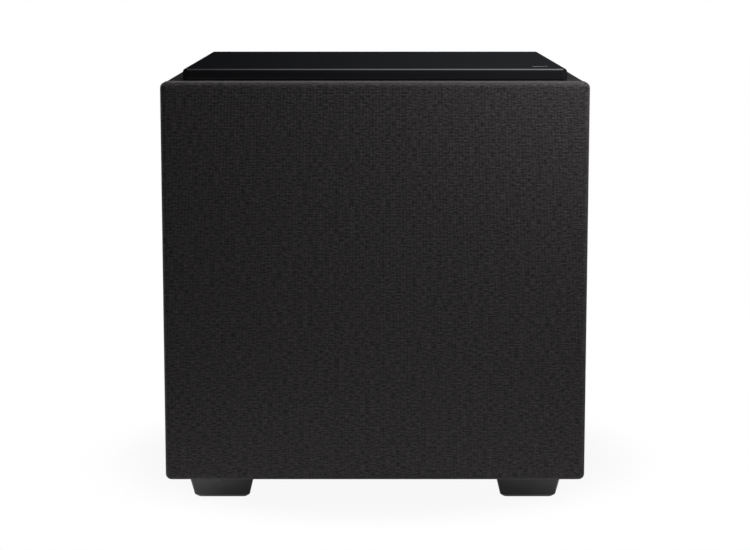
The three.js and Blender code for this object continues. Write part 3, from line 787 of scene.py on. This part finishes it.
def keep(node, edge):
    """A CAD node that is shown as it is, with its edges rounded."""
    dress(soften(frame["nodes"][node], edge), FINISHES[SLOT_OF[node]])


def size_of(node):
    """A node's half width, which is its radius if it is round, and the depths of its front and back."""
    low, high = span_of(node)
    return (high.x - low.x) / 2, low.y - FRONT, high.y - FRONT


def face_of(node, inset_x=0, inset_z=0):
    """A node's middle (x, z), and its width and height less an inset at each side."""
    low, high = span_of(node)
    x, _, z = (low + high) / 2
    return (x, z), (high.x - low.x - 2 * inset_x, high.z - low.z - 2 * inset_z)


def arc(centre, reach, start, end, steps=20):
    """Points of (radius, depth) along part of an ellipse, by its angles in degrees. It starts outwards
    and turns to the front."""
    turns = [math.radians(start + (end - start) * i / steps) for i in range(steps + 1)]
    return [(centre[0] + reach[0] * math.cos(t), centre[1] - reach[1] * math.sin(t)) for t in turns]


# ------------------------------------------------------------------ cabinet

CABINET_EDGE = 1.4
CORNERS = [f"{end}_{side}" for end in ("front", "rear") for side in ("left", "right")]
PEG_CORNERS = [f"{level}_{side}" for level in ("lower", "upper") for side in ("left", "right")]
CABINET_BOX = [
    Vector(map(pick, *(span_of(node)[i] for node in ("left_side_panel", "right_side_panel"))))
    for i, pick in enumerate((min, max))
]
CUT = 0.01  # the edge of a cutter, as good as sharp
REBATE_DEPTHS = (10, 28)
SPEAKER_HOLE = 118
PEG_HOLE = 7.25
PEG_HOLE_DEPTHS = (10, 36.25)
AMP_CUTOUT = (212, 208)
BRACE_WINDOW = (200, 190)


def panel_box(node):
    """A board whose outside edges are rounded, and whose seams with its neighbours are left flush."""
    low, high = span_of(node)
    work = bmesh.new()
    bmesh.ops.create_cube(work, size=1)
    bmesh.ops.scale(work, vec=high - low, verts=work.verts)
    bmesh.ops.translate(work, vec=(low + high) / 2, verts=work.verts)

    def is_outside(face):
        middle = face.calc_center_median()
        return any(abs(middle[i] - CABINET_BOX[side][i]) < 0.1 for side in (0, 1) for i in range(3))

    outside = [edge for edge in work.edges if all(is_outside(face) for face in edge.link_faces)]
    if outside:
        bmesh.ops.bevel(work, geom=outside, offset=CABINET_EDGE, segments=4, profile=0.5, affect="EDGES")
    return object_from(work, node + "_board")


def add_panels():
    for node in ("left_side_panel", "right_side_panel", "top_panel", "bottom_panel"):
        detail(node, panel_box(node))
    rebate = size_of("basket")[0] + 1
    cutters = [hole("cone", rebate, REBATE_DEPTHS, 128), hole("cone", SPEAKER_HOLE, (20, 60), 128)]
    cutters += [hole(f"peg_socket_{corner}", PEG_HOLE, PEG_HOLE_DEPTHS) for corner in PEG_CORNERS]
    detail("front_baffle", carve(panel_box("front_baffle"), *cutters))
    cutout = slab("cutout", (0, 178), AMP_CUTOUT, (340, 400), (8, CUT, CUT))
    detail("rear_panel", carve(panel_box("rear_panel"), cutout))
    _, front, back = size_of("window_brace")
    window = slab("window", (0, centre_of("cone").z), BRACE_WINDOW, (front - 5, back + 5), (25, CUT, CUT))
    board = rounded_box("brace_board", *span_of("window_brace"), (0.5, 0.6, 0.6))
    detail("window_brace", carve(board, window))


def add_top_plate():
    """The gloss plate, with a strip of metal let into it."""
    strip_low, strip_high = span_of("top_plate_strip")
    room = Vector((0.15, 0.15, 0))
    above = Vector((0, 0, 3))
    groove = rounded_box("groove", strip_low - room, strip_high + room + above, (0.3, CUT, CUT), "z")
    plate = rounded_box("plate", *span_of("top_plate"), (5, 0.3, 3), "z", steps=10)
    detail("top_plate", carve(plate, groove))
    strip = rounded_box("plate_strip", strip_low, strip_high, (0.5, 0.2, 0.3), "z")
    detail("top_plate_strip", strip, MATT_METAL)


FOOT = {"taper": 5, "knee": 3.25, "chamfer": 3.25, "corner": 2.6, "pad_corner": 4}


def add_feet():
    """Tapered blocks with a chamfer round the floor end, and a pad in a recess below."""
    taper, knee = FOOT["taper"], FOOT["knee"]
    sole = taper + FOOT["chamfer"]
    room = Vector((0.3, 0.3, 0.2))
    for corner in CORNERS:
        low, high = span_of(f"foot_{corner}")
        centre, half = (low + high) / 2, (high - low) / 2
        rings = []
        for inset, z in (
            (sole + 0.2, low.z), (sole - 0.4, low.z + 0.3), (taper + 0.25, knee - 0.3),
            (taper - 0.05, knee + 0.5), (0, high.z - 0.6), (0.6, high.z),
        ):
            outline = rounded_rectangle(half.x - inset, half.y - inset, FOOT["corner"])
            rings.append([(centre.x + u, centre.y + v, z) for u, v in outline])
        low, high = span_of(f"foot_pad_{corner}")
        recess = rounded_box("recess", low - room, high + room, (FOOT["pad_corner"], CUT, CUT), "z")
        block = loft(f"foot_block_{corner}", rings, angle=20)
        detail(f"foot_{corner}", carve(block, recess, angle=20))
        pad = rounded_box(f"rubber_pad_{corner}", low, high, (FOOT["pad_corner"], 0.8, 0.3), "z")
        detail(f"foot_pad_{corner}", pad)


WADDING = {
    "lumps": ((23, 0.3, 1.1), (41, 1.7, 0.8), (13, 2.9, 0.5)),  # reach, turn and height of each wave
    "cuts": 46, "sunk": 2.5, "fall": 0.45, "shoulder": 16, "pinch": 0.02,
}


def add_wadding():
    """A lumpy batt of polyester fibre on the cabinet's floor."""
    low, high = span_of("wadding")
    span = high - low
    work = bmesh.new()
    bmesh.ops.create_cube(work, size=1)
    bmesh.ops.subdivide_edges(work, edges=work.edges, cuts=WADDING["cuts"], use_grid_fill=True)
    for vertex in work.verts:
        x, y, up = vertex.co.x * span.x, vertex.co.y * span.y, vertex.co.z + 0.5
        wave = sum(
            height * math.sin(x / reach + turn) * math.cos(y / reach + 2 * turn)
            for reach, turn, height in WADDING["lumps"]
        )
        edge = min(span.x / 2 - abs(x), span.y / 2 - abs(y))
        round_off = 1 - WADDING["fall"] * max(0, 1 - edge / WADDING["shoulder"]) ** 2
        pinch = 1 - WADDING["pinch"] * up * (1 + math.sin(x / 17) * math.cos(y / 11))
        vertex.co = (x * pinch, y * pinch, up * (span.z - WADDING["sunk"] + wave) * round_off)
    bmesh.ops.translate(work, vec=((low.x + high.x) / 2, (low.y + high.y) / 2, low.z), verts=work.verts)
    batt = object_from(work, "wadding_batt", angle=70)
    detail("wadding", batt)


# ------------------------------------------------------------------ grille

GRILLE = {"edge": 4.5, "corner": 5.0, "cloth": 1.0, "fold": 14, "turn_back": 1.2, "opening": 142}


def add_grille_frame():
    board = rounded_box(
        "grille_board", *span_of("grille_frame"), (GRILLE["corner"] - 1.5, 3, 0.5), steps=6)
    mouth = GRILLE["opening"]
    opening = turned("opening", [
        (0, -5), (mouth + 8, -5), (mouth + 1.5, 3), (mouth, 6), (mouth, 30), (0, 30),
    ], "cone", 160)
    wells = [hole(f"grille_peg_{corner}", 8.25, (16, 30)) for corner in PEG_CORNERS]
    detail("grille_frame", carve(board, opening, *wells))


def cloth_rings():
    """Rings of the cloth's outer face, from the front's middle round the sides to behind the frame.
    Each has its offset outwards from where the front starts to curve, its depth, and the length of
    cloth from there."""
    edge, turn_back = GRILLE["edge"], GRILLE["turn_back"]
    back = size_of("grille_frame")[2] + GRILLE["cloth"] - 0.15
    side = back - turn_back - edge
    rings = [(-6.0, 0.0, -6.0), (0.0, 0.0, 0.0)]
    rings += [(edge * math.sin(t), edge * (1 - math.cos(t)), edge * t) for t in quarter(8)[1:]]
    length = rings[-1][2]
    rings += [(edge, edge + side * share, length + side * share) for share in (0.5, 1.0)]
    length = rings[-1][2]
    rings += [
        (edge - turn_back * (1 - math.cos(t)), back - turn_back * (1 - math.sin(t)), length + turn_back * t)
        for t in quarter(3)[1:]
    ]
    rings.append((edge - GRILLE["fold"], back, rings[-1][2] + GRILLE["fold"] - turn_back))
    return rings


def add_grille_cloth():
    """One piece of cloth, with the place of each of its points when it is laid flat."""
    low, high = span_of("grille_cloth")
    centre = (low + high) / 2
    edge = GRILLE["edge"]
    half_x, half_z = (high.x - low.x) / 2 - edge, (high.z - low.z) / 2 - edge
    base = rounded_rectangle(half_x, half_z, GRILLE["corner"] - edge, steps=8)
    middles = rounded_rectangle(half_x - 0.5, half_z - 0.5, 0.01, steps=8)
    work = bmesh.new()
    flat = work.verts.layers.float_vector.new("flat")
    rings = []
    for offset, depth, length in cloth_rings():
        ring = []
        for (u, v), (middle_u, middle_v) in zip(base, middles):
            way = Vector((u - middle_u, v - middle_v)).normalized()
            place, spread = Vector((u, v)) + way * offset, Vector((u, v)) + way * length
            if offset < 0:
                place = Vector((math.copysign(half_x + offset, u), math.copysign(half_z + offset, v)))
                place += way * 0.01
                spread = place
            vertex = work.verts.new((centre.x + place.x, at(depth), centre.z + place.y))
            vertex[flat] = (spread.x * MM, spread.y * MM, 0)
            ring.append(vertex)
        rings.append(ring)
    skin(work, rings)
    work.faces.new(rings[0][::-1])
    uv = work.loops.layers.uv.new("cloth")
    for face in work.faces:
        for loop in face.loops:
            loop[uv].uv = loop.vert[flat].xy
    cloth = object_from(work, "grille_fabric", angle=60)
    thickness = cloth.modifiers.new("thickness", "SOLIDIFY")
    thickness.thickness = GRILLE["cloth"] * MM
    thickness.offset = -1
    thickness.use_even_offset = True
    detail("grille_cloth", cloth)
    wrap = 2 * cloth_rings()[-1][2] * MM


def add_pegs():
    """Split pegs with a snap bead, and the sockets that they push into."""
    for corner in PEG_CORNERS:
        node = f"grille_peg_{corner}"
        radius, front, back = size_of(node)
        peg = turned(f"peg_{corner}", [
            (0, front), (radius, front), (radius, front + 3.6), (radius - 0.4, front + 4), (4, front + 4),
            (3.6, front + 5), (3.6, back - 6), (4, back - 4.5), (4, back - 3), (2.8, back - 0.4),
            (2.2, back), (0, back),
        ], node, 40)
        x, _, z = centre_of(node)
        for size in ((1, 10), (10, 1)):
            carve(peg, slab("slit", (x, z), size, (back - 10, back + 2), (0.1, 0.2, 0.1)))
        detail(node, peg)
        node = f"peg_socket_{corner}"
        radius, front, back = size_of(node)
        detail(node, turned(f"socket_{corner}", [
            (0, back - 1.5), (4.5, back - 1.5), (4.5, front + 1.2), (5.2, front), (radius - 0.5, front),
            (radius, front + 0.5), (radius, front + 1), (7, front + 1), (7, back - 0.6), (6.4, back),
            (0, back),
        ], node, 48))


# ------------------------------------------------------------------ driver

SURROUND = {"inner": 88, "outer": 110, "rise": 9, "skin": 1}
SPIDER = {"pleats": 6, "lip": 64, "height": 3, "skin": 0.8}
CONE = {"flat": 84, "neck": 26.75, "steps": 72, "curve": 0.03, "pitch": 6.5, "rib": 0.3}


def add_ring(node, name, inner, edge):
    """A plain ring that fills its node's box out from an inner radius."""
    detail(node, turned(name, ring_profile(inner, *size_of(node), edge), node, 128))


def add_basket():
    radius, front, back = size_of("basket")
    shell = turned("basket_shell", [
        (radius - 0.6, front), (radius, front + 0.6), (radius, front + 3.4), (radius - 0.6, front + 4),
        (116.5, 26), (104, 43), (81, 70), (77, 79.5), (74.5, 82.5), (63, back - 0.5), (61, back),
        (40.5, back), (40, back - 0.5), (40, 82.5), (57.5, 82.5), (62.4, 75.6), (63.5, 75), (73.5, 75),
        (77, 66), (100, 40), (109.5, 24), (119, 24), (119.5, 23.5), (119.5, front),
    ], "basket", 160)
    x, _, z = centre_of("basket") * MM
    windows = []
    for i in range(8):
        window = rounded_box("window", (-19, at(36), 50), (19, at(66), 160), (7, 0.1, 0.1), "z")
        window.data.transform(Matrix.Rotation((i + 0.5) * math.pi / 4, 4, "Y"))
        window.data.transform(Matrix.Translation((x, 0, z)))
        windows.append(window)
    detail("basket", carve(shell, *windows))
    add_ring("basket_gasket", "gasket", 119, 0.4)


def soft_detail(node, piece, inner, outer):
    """A piece that stays with the cabinet at its outer radius and moves with the cone at its inner one."""
    dress(piece, FINISHES[SLOT_OF[node]])
    centre = centre_of("cone") * MM
    start, end = (centre + Vector((radius * MM, 0, 0)) for radius in (outer, inner))
    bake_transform(piece, "cabinet", "moving_cone", start, end)
    weights = piece.data.attributes["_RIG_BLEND"].data
    for vertex, weight in zip(piece.data.vertices, weights):
        radius = math.hypot(vertex.co.x - centre.x, vertex.co.z - centre.z) / MM
        share = min(1, max(0, (outer - radius) / (outer - inner)))
        weight.value = share * share * (3 - 2 * share)
    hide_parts(node)


def add_surround():
    """A half-roll of rubber of even thickness, with a flat lip at each side."""
    lip, _, back = size_of("surround")
    inner, outer, rise, thick = (SURROUND[key] for key in ("inner", "outer", "rise", "skin"))
    middle, reach = (inner + outer) / 2, (outer - inner) / 2
    front = back - thick
    ring = turned("rubber_surround", [
        (lip, back), (lip, front), *arc((middle, front), (reach, rise), 0, 180),
        (CONE["flat"], front), (CONE["flat"], back), *arc((middle, back), (reach - thick, rise), 180, 0),
    ], "surround", 160)
    soft_detail("surround", ring, inner, outer)


def add_cone():
    """A slightly curved cone with low ribs, a domed cap and the bead of glue round it."""
    rim, front, back = size_of("cone")
    flat, neck = CONE["flat"], CONE["neck"]
    depth_at_neck = back - 2.5
    face = [(rim, front + 0.3), (rim - 0.3, front)]
    behind = []
    for i in range(CONE["steps"] + 1):
        share = i / CONE["steps"]
        radius = flat + (neck - flat) * share
        depth = front + (depth_at_neck - front) * (share - CONE["curve"] * math.sin(math.pi * share))
        rib = CONE["rib"] * max(0, math.cos(2 * math.pi * radius / CONE["pitch"])) ** 2
        face.append((radius, depth - rib * min(1, 4 * share, 4 * (1 - share))))
        behind.append((radius + 0.3, depth + 2.3))
    behind = behind[-2:0:-1] + [(flat, front + 2), (rim, front + 2)]
    detail("cone", turned("paper_cone", [*face, (neck, depth_at_neck + 2.5), *behind], "cone", 160))
    cap_radius, apex, cap_rim = size_of("dust_cap")
    sag = cap_rim - apex - 1
    dome = [(cap_radius * i / 24, apex + sag * (i / 24) ** 2) for i in range(25)]
    under = [(radius * 0.985, depth + 1) for radius, depth in dome[::-1]]
    detail("dust_cap", turned("paper_dust_cap", dome + under, "dust_cap", 128))
    bead = arc((cap_radius + 0.4, cap_rim - 0.6), (0.9, 0.9), 0, 330, 11)
    trim("dust_cap", turned("glue_bead", bead, "dust_cap", 128), "paper", FINISHES["rubber"])


def add_spider():
    outer, _, back = size_of("spider")
    start, lip, pleats = CONE["neck"] + 3, SPIDER["lip"], SPIDER["pleats"]
    steps = 12 * pleats
    behind = [(CONE["neck"], back)]
    for i in range(steps + 1):
        rise = SPIDER["height"] / 2 * (1 - math.cos(2 * math.pi * pleats * i / steps))
        behind.append((start + (lip - start) * i / steps, back - rise))
    behind.append((outer, back))
    face = [(radius, depth - SPIDER["skin"]) for radius, depth in behind[::-1]]
    soft_detail("spider", turned("pleated_spider", behind + face, "spider", 128), start, lip)


def add_motor():
    """The coil and its former, the magnet between its steel parts, and the terminals."""
    add_ring("former", "coil_former", 25.25, 0.1)
    add_ring("voice_coil", "coil_winding", 26.25, 0.3)
    add_ring("top_washer", "washer", 28.25, 0.6)
    add_ring("magnet", "ferrite_ring", 33, 1.6)
    radius, front, back = size_of("yoke")
    detail("yoke", turned("yoke_pole", [
        (8, front + 1), (9, front), (23.5, front), (24.5, front + 1), (24.5, front + 39),
        (radius - 1, front + 39), (radius, front + 40), (radius, back - 2), (radius - 2, back),
        (9.5, back), (8, back - 1.5),
    ], "yoke", 128))
    keep("terminal_block", 0.6)
    x, _, z = centre_of("terminal_block")
    back = size_of("terminal_block")[2]
    for pole, side in (("minus", -6), ("plus", 6)):
        place, depths = (x - 2.5, z + side), (back - 4, back + 7)
        tab = slab(f"terminal_tab_{pole}", place, (3, 0.8), depths, (0.3, 0.1, 0.3))
        trim("terminal_block", tab, "gold", NICKEL)


# ------------------------------------------------------------------ screws


def screw_mesh(radius, height, faces_back=False):
    """A pan-head screw with a cross recess, whose outermost point is at the origin."""
    dome = [(radius * math.sin(t), height * (1 - math.cos(t)) ** 0.8) for t in quarter(8)[1:]]
    head = turned("screw", [(0, 0), *dome, (radius, height + 0.2), (0, height + 0.2)], (0, 0, 0), 40)
    long, wide = radius * 1.2, radius * 0.26
    for size in ((long, wide), (wide, long)):
        carve(head, slab("blade", (0, 0), size, (-1, height * 0.75), (0.05, CUT, 0.2)))
    mesh = head.data
    mesh.transform(Matrix.Translation((0, -FRONT * MM, 0)))
    if faces_back:
        mesh.transform(Matrix.Rotation(math.pi, 4, "Z"))
    bpy.data.objects.remove(head)
    return mesh


def place_screws(node, name, mesh, places, depth):
    """Screws with their outermost points at a depth, each turned its own way."""
    for i, (x, z) in enumerate(places):
        screw = linked(f"{name}_{i + 1}", mesh)
        screw.location = (x * MM, at(depth) * MM, z * MM)
        screw.rotation_euler = (0, 0.7 + 1.9 * i, 0)
        trim(node, screw, "steel", BLACK_SCREW)


DRIVER_SCREWS = {"count": 8, "circle": 125.2, "radius": 4.2, "height": 2.2, "top": 19.9}


def add_driver_screws():
    axis = centre_of("basket")
    turns = [2 * math.pi * i / DRIVER_SCREWS["count"] for i in range(DRIVER_SCREWS["count"])]
    circle = DRIVER_SCREWS["circle"]
    places = [(axis.x + circle * math.sin(t), axis.z + circle * math.cos(t)) for t in turns]
    screw = screw_mesh(DRIVER_SCREWS["radius"], DRIVER_SCREWS["height"])
    place_screws("basket", "driver_screw", screw, places, DRIVER_SCREWS["top"])


# ------------------------------------------------------------------ amplifier

KNOBS = ("gain", "crossover")
KNOB = {"flutes": 30, "flute": 0.3, "height": 12, "shaft": 3}
SLIDES = {"phase": {"x": -36, "stops": (-2, 2)}, "power_mode": {"x": -82, "stops": (-4, 0, 4)}}
SLOT = 5
SHAFT_HOLE = 3.5
LIGHT_HOLE = 1.75
JACK_OFFSET = 13
OPENING_INSETS = {"rocker_bezel": 0.5, "mains_inlet": 3.75, "line_jacks": 3}
PLATE_SCREW = {"radius": 3.4, "height": 1.9, "inset": 7, "middle": 38}
TICKS = {"radius": 14.5, "length": 2.6, "width": 0.5, "height": 0.12, "count": 11, "sweep": 300}
INK_EDGES = (0.05, 0.01, 0.03)


def add_amp_plate():
    """The plate, with a hole for each part that passes through it, and its screws."""
    low, high = span_of("amp_plate")
    _, front, back = size_of("amp_plate")
    through = (front - 2, back + 2)
    cutters = [hole(f"{knob}_knob", SHAFT_HOLE, through, 32) for knob in KNOBS]
    cutters.append(hole("status_light", LIGHT_HOLE, through, 32))
    for node, inset in OPENING_INSETS.items():
        cutters.append(slab("opening", *face_of(node, inset, inset), through, (1, CUT, CUT)))
    for name, slide in SLIDES.items():
        place = (slide["x"], centre_of(f"{name}_slider").z)
        size = (SLOT + 2 * slide["stops"][-1], SLOT)
        cutters.append(slab("slot", place, size, through, (0.6, CUT, CUT)))
    detail("amp_plate", carve(rounded_box("rear_plate", low, high, (6, 0.1, 0.5)), *cutters))
    inset = PLATE_SCREW["inset"]
    bottom, top = low.z + inset, high.z - inset
    places = [(x, z) for x in (low.x + inset, high.x - inset) for z in (bottom, (low.z + high.z) / 2, top)]
    places += [(side * PLATE_SCREW["middle"], z) for side in (-1, 1) for z in (bottom, top)]
    screw = screw_mesh(PLATE_SCREW["radius"], PLATE_SCREW["height"], faces_back=True)
    place_screws("amp_plate", "plate_screw", screw, places, back + PLATE_SCREW["height"])


def add_scale_marks():
    """Printed ticks round each knob, and a short bar beside each stop of the two slides."""
    top = size_of("amp_plate")[2]
    ink = (top, top + TICKS["height"])
    for knob in KNOBS:
        x, _, z = centre_of(f"{knob}_knob") * MM
        ticks = []
        for i in range(TICKS["count"]):
            turn = math.radians(TICKS["sweep"] * (i / (TICKS["count"] - 1) - 0.5))
            long = TICKS["length"] * (1.5 if i % 5 == 0 else 1)
            tick = slab("tick", (0, TICKS["radius"] + long / 2), (TICKS["width"], long), ink, INK_EDGES)
            tick.data.transform(Matrix.Rotation(turn, 4, "Y"))
            tick.data.transform(Matrix.Translation((x, 0, z)))
            ticks.append(tick)
        trim("amp_plate", merged(f"{knob}_scale", ticks), finish=WHITE_INK)
    bars = []
    for name, slide in SLIDES.items():
        z = centre_of(f"{name}_slider").z
        for stop in slide["stops"]:
            bars.append(slab("bar", (slide["x"] + stop, z + 5.4), (0.6, 2.4), ink, INK_EDGES))
    trim("amp_plate", merged("slide_marks", bars), finish=WHITE_INK)


def add_knobs():
    """Knobs with a plain skirt, a fluted grip and a dished top, and their potentiometers."""
    sides = KNOB["flutes"] * 6
    for name in KNOBS:
        node = f"{name}_knob"
        radius, front, back = size_of(node)
        x, _, z = centre_of(node)
        skirt = back - KNOB["height"]
        rings = []
        for inset, depth, fluted in (
            (0.4, skirt, 0), (0, skirt + 0.4, 0), (0, skirt + 1.8, 0), (0.9, skirt + 2.4, 1),
            (1.3, back - 1.6, 1), (1.7, back - 0.5, 0), (2.3, back, 0), (3.5, back, 0),
            (4.2, back - 0.35, 0),
        ):
            ring = []
            for i in range(sides):
                turn = 2 * math.pi * i / sides
                groove = KNOB["flute"] * fluted * (1 - math.cos(KNOB["flutes"] * turn))
                reach = radius - inset - groove
                ring.append((x + reach * math.sin(turn), at(depth), z + reach * math.cos(turn)))
            rings.append(ring)
        shaft = turned("shaft", rod_profile(KNOB["shaft"], front, skirt + 1), node, 40)
        detail(node, merged(f"{name}_dial", [loft("body", rings), shaft]))
        bend = radius - 2.2
        lines = [
            slab("line", (x, z + (start + end) / 2), (1, end - start), depths, (0.2, 0.05, 0.1))
            for start, end, depths in (
                (4.5, bend, (back - 0.8, back - 0.02)), (bend, bend + 0.8, (skirt + 2, back - 0.4)),
            )
        ]
        trim(node, merged(f"{name}_pointer", lines), "nylon", WHITE_INK)
        keep(f"{name}_potentiometer", 0.4)


def add_slides():
    """Slider nubs with three ridges, and the switches behind them."""
    for name, finish in (("phase", WHITE_INSERT), ("power_mode", None)):
        node = f"{name}_slider"
        _, front, back = size_of(node)
        (x, z), (width, height) = face_of(node)
        nub = [slab("nub", (x, z), (width, height), (front, back - 0.6), (0.5, 0.1, 0.3))]
        for ridge in (x - 1.4, x, x + 1.4):
            depths = (back - 1.2, back)
            nub.append(slab("ridge", (ridge, z), (0.7, height - 0.6), depths, (0.2, 0.05, 0.25)))
        detail(node, merged(f"{name}_nub", nub), finish)
        keep(f"{name}_switch", 0.35)


# The rocker's pivot depth, its tilt at rest, and the height and slope of its two faces.
ROCKER = {"pivot": 383, "tilt": math.radians(10), "face": 1.25, "slope": math.atan(1.25 / 8.5)}


def add_rocker_marks():
    """A bar on one half of the rocker and a ring on the other."""
    bezel = centre_of("rocker_bezel")
    pivot = Vector((bezel.x, at(ROCKER["pivot"]), bezel.z)) * MM
    thick = TICKS["height"]
    bar = rounded_box("mark", (-0.35, 0, 3.2), (0.35, thick, 6.4), (0.1, 0.01, 0.03))
    ring = turned("mark", [
        (1.1, -FRONT), (1.8, -FRONT), (1.8, thick - FRONT), (1.1, thick - FRONT),
    ], (0, 0, -4.8), 32)
    for name, mark, side in (("on", bar, 1), ("off", ring, -1)):
        mark.data.transform(Matrix.Rotation(-ROCKER["slope"] * side, 4, "X"))
        mark.data.transform(Matrix.Translation((0, ROCKER["face"] * MM, 0)))
        mark.data.transform(Matrix.Rotation(-ROCKER["tilt"], 4, "X"))
        mark.data.transform(Matrix.Translation(pivot))
        mark.name = f"rocker_mark_{name}"
        trim("rocker", mark, "nylon", WHITE_INK)


def add_mains_row():
    """The mains switch, the inlet with its three pins, and the fuse drawer with its finger lip."""
    for node, edge in (("rocker", 0.5), ("rocker_bezel", 0.5), ("mains_inlet", 0.6), ("fuse_drawer", 0.3)):
        keep(node, edge)
    add_rocker_marks()
    inlet = centre_of("mains_inlet")
    back = size_of("mains_inlet")[2]
    pins = []
    for x, z in ((inlet.x, inlet.z + 10.5), (inlet.x - 7, inlet.z + 5), (inlet.x + 7, inlet.z + 5)):
        pins.append(slab("pin", (x, z), (2, 4), (366, back - 3), (0.3, 0.1, 0.7)))
    trim("mains_inlet", merged("inlet_pins", pins), "steel", NICKEL)
    (x, z), (width, height) = face_of("fuse_drawer")
    back = size_of("fuse_drawer")[2]
    place = (x, z + height / 2 - 1.9)
    lip = slab("drawer_lip", place, (width - 12, 1), (back - 0.8, back + 0.6), (0.3, 0.1, 0.3))
    trim("fuse_drawer", lip, "nylon")


def add_jacks():
    """Two phono jacks on one block: plated barrels with a coloured insert and collar each."""
    centre = centre_of("line_jacks")
    _, near, back = size_of("line_jacks")
    face = size_of("amp_plate")[2]
    front = face + 1.2
    barrels, inserts = [], []
    for name, side, finish in (("left", -1, WHITE_INSERT), ("right", 1, RED_INSERT)):
        place = (centre.x + JACK_OFFSET * side, 0, centre.z)
        barrels.append(turned("barrel", [
            (3.3, front), (4.15, front), (4.15, back - 0.5), (3.8, back), (3.5, back), (3.3, back - 0.4),
        ], place, 48))
        insert = turned(f"{name}_jack_insert", [
            (1.75, front), (3.3, front), (3.3, back - 0.8), (2.2, back - 0.8), (1.75, back - 1.4),
        ], place, 48)
        inserts.append((insert, finish))
        barrels.append(turned("contact", ring_profile(1.2, 1.75, front, back - 2, 0.1), place, 32))
        collar = ring_profile(4.2, 6.2, face + 1.3, face + 2.4, 0.3)
        trim("line_jacks", turned(f"{name}_jack_collar", collar, place, 48), "gold", finish)
    detail("line_jacks", merged("jack_barrels", barrels))
    for insert, finish in inserts:
        trim("line_jacks", insert, "nylon", finish)
    block = merged("jack_block", [
        slab("flange", *face_of("line_jacks"), (face, face + 1.5), (2, 0.05, 0.4)),
        slab("body", *face_of("line_jacks", 3.5, 2.5), (near, face + 0.1), (1, 0.4, 0.1)),
    ])
    trim("line_jacks", block, "nylon")


def add_light():
    radius, front, back = size_of("status_light")
    dome = arc((0, back - 1), (radius, -1), 0, 90, 6)[:-1]
    profile = [(0, front), (radius, front), *dome, (0, back)]
    detail("status_light", turned("light_dome", profile, "status_light", 32))


TOROID = {"round": 8, "back": 376}
SMALL_CANS = (  # name, finish, radius, height, places
    ("small_capacitors", "sleeve", 6.3, 22, ((-30, 250), (-12, 252), (6, 250), (-84, 250))),
    ("coupling_capacitors", "satin_black", 3.4, 11,
     ((30, 255), (40, 252), (50, 256), (82, 235), (82, 222))),
)
CHIPS = (  # place, size, thickness
    ((-2, 222), (20, 7), 3.5), ((24, 222), (12, 7), 3.2), ((60, 228), (16, 12), 9),
    ((-88, 225), (12, 18), 14), ((0, 180), (14, 9), 4), ((-20, 160), (24, 8), 5), ((52, 186), (9, 9), 2.5),
)


def add_transformer():
    """A taped toroid, clamped by a dished washer and a nut."""
    radius, front, back = size_of("transformer")
    bend = TOROID["round"]
    profile = [(0, front + 2), (12, front + 2), (12.4, front + 1.2), (16, front)]
    profile += arc((radius - bend, front + bend), (bend, bend), 90, 0, 8)
    profile += arc((radius - bend, TOROID["back"] - bend), (bend, bend), 0, -90, 8)
    profile += [(12, TOROID["back"]), (12, back), (0, back)]
    detail("transformer", turned("toroid", profile, "transformer", 96))
    clamp = (
        ("clamp_dish", 64, [(0, 0.4), (12, 0.4), (15, 1.2), (15, 2.2), (0, 2.2)]),
        ("clamp_nut", 6, [(0, -4), (5, -4), (5.5, -3.4), (5.5, 0.5), (0, 0.5)]),
    )
    for name, sides, outline in clamp:
        outline = [(reach, front + depth) for reach, depth in outline]
        trim("transformer", turned(name, outline, "transformer", sides), "steel")


def add_electronics():
    """The heatsink, and what hangs behind the plate: transformer, capacitors and a loaded board."""
    keep("heatsink", 0.35)
    keep("circuit_board", 0.2)
    add_transformer()
    radius, front, back = size_of("capacitor")
    detail("capacitor", turned("main_capacitor", [
        (0, front + 0.6), (radius - 2.4, front + 0.6), (radius - 2, front), (radius - 0.8, front),
        (radius, front + 0.9), (radius, back - 3.5), (radius - 0.7, back - 2.6), (radius, back - 1.8),
        (radius, back), (0, back),
    ], "capacitor", 96))
    face = size_of("circuit_board")[1]
    for name, finish, size, tall, places in SMALL_CANS:
        outline = rod_profile(size, face - tall, face - 0.02, 0.7)
        cans = [turned("can", outline, (x, 0, z), 40) for x, z in places]
        trim("circuit_board", merged(name, cans), "sleeve", FINISHES[finish])
    chips = [
        slab("chip", place, size, (face - tall, face - 0.02), (0.3, 0.3, 0.05))
        for place, size, tall in CHIPS
    ]
    trim("circuit_board", merged("board_chips", chips), "circuit", FINISHES["satin_black"])


CABLE = {
    "radius": 1.4, "apart": 1.3,
    "route": (  # x, depth, z
        (40, 365.75, 216), (40, 352, 216), (44, 320, 206), (54, 270, 172), (66, 208, 150), (84, 150, 156),
        (92, 108, 182), (88, 88, 194.75), (88, 76.5, 194.75),
    ),
}


def add_speaker_cable():
    """A flat twin lead from the board, through the brace's window, to the driver's terminals."""
    leads = []
    for side in (-CABLE["apart"], CABLE["apart"]):
        points = [(x, at(depth), z + side) for x, depth, z in CABLE["route"]]
        leads.append(tube("lead", points, CABLE["radius"], 16))
    detail("speaker_cable", merged("twin_lead", leads))


add_panels()
add_top_plate()
add_feet()
add_wadding()
add_grille_frame()
add_grille_cloth()
add_pegs()
add_basket()
add_surround()
add_cone()
add_spider()
add_motor()
add_driver_screws()
add_amp_plate()
add_scale_marks()
add_knobs()
add_slides()
add_mains_row()
add_jacks()
add_light()
add_electronics()
add_speaker_cable()
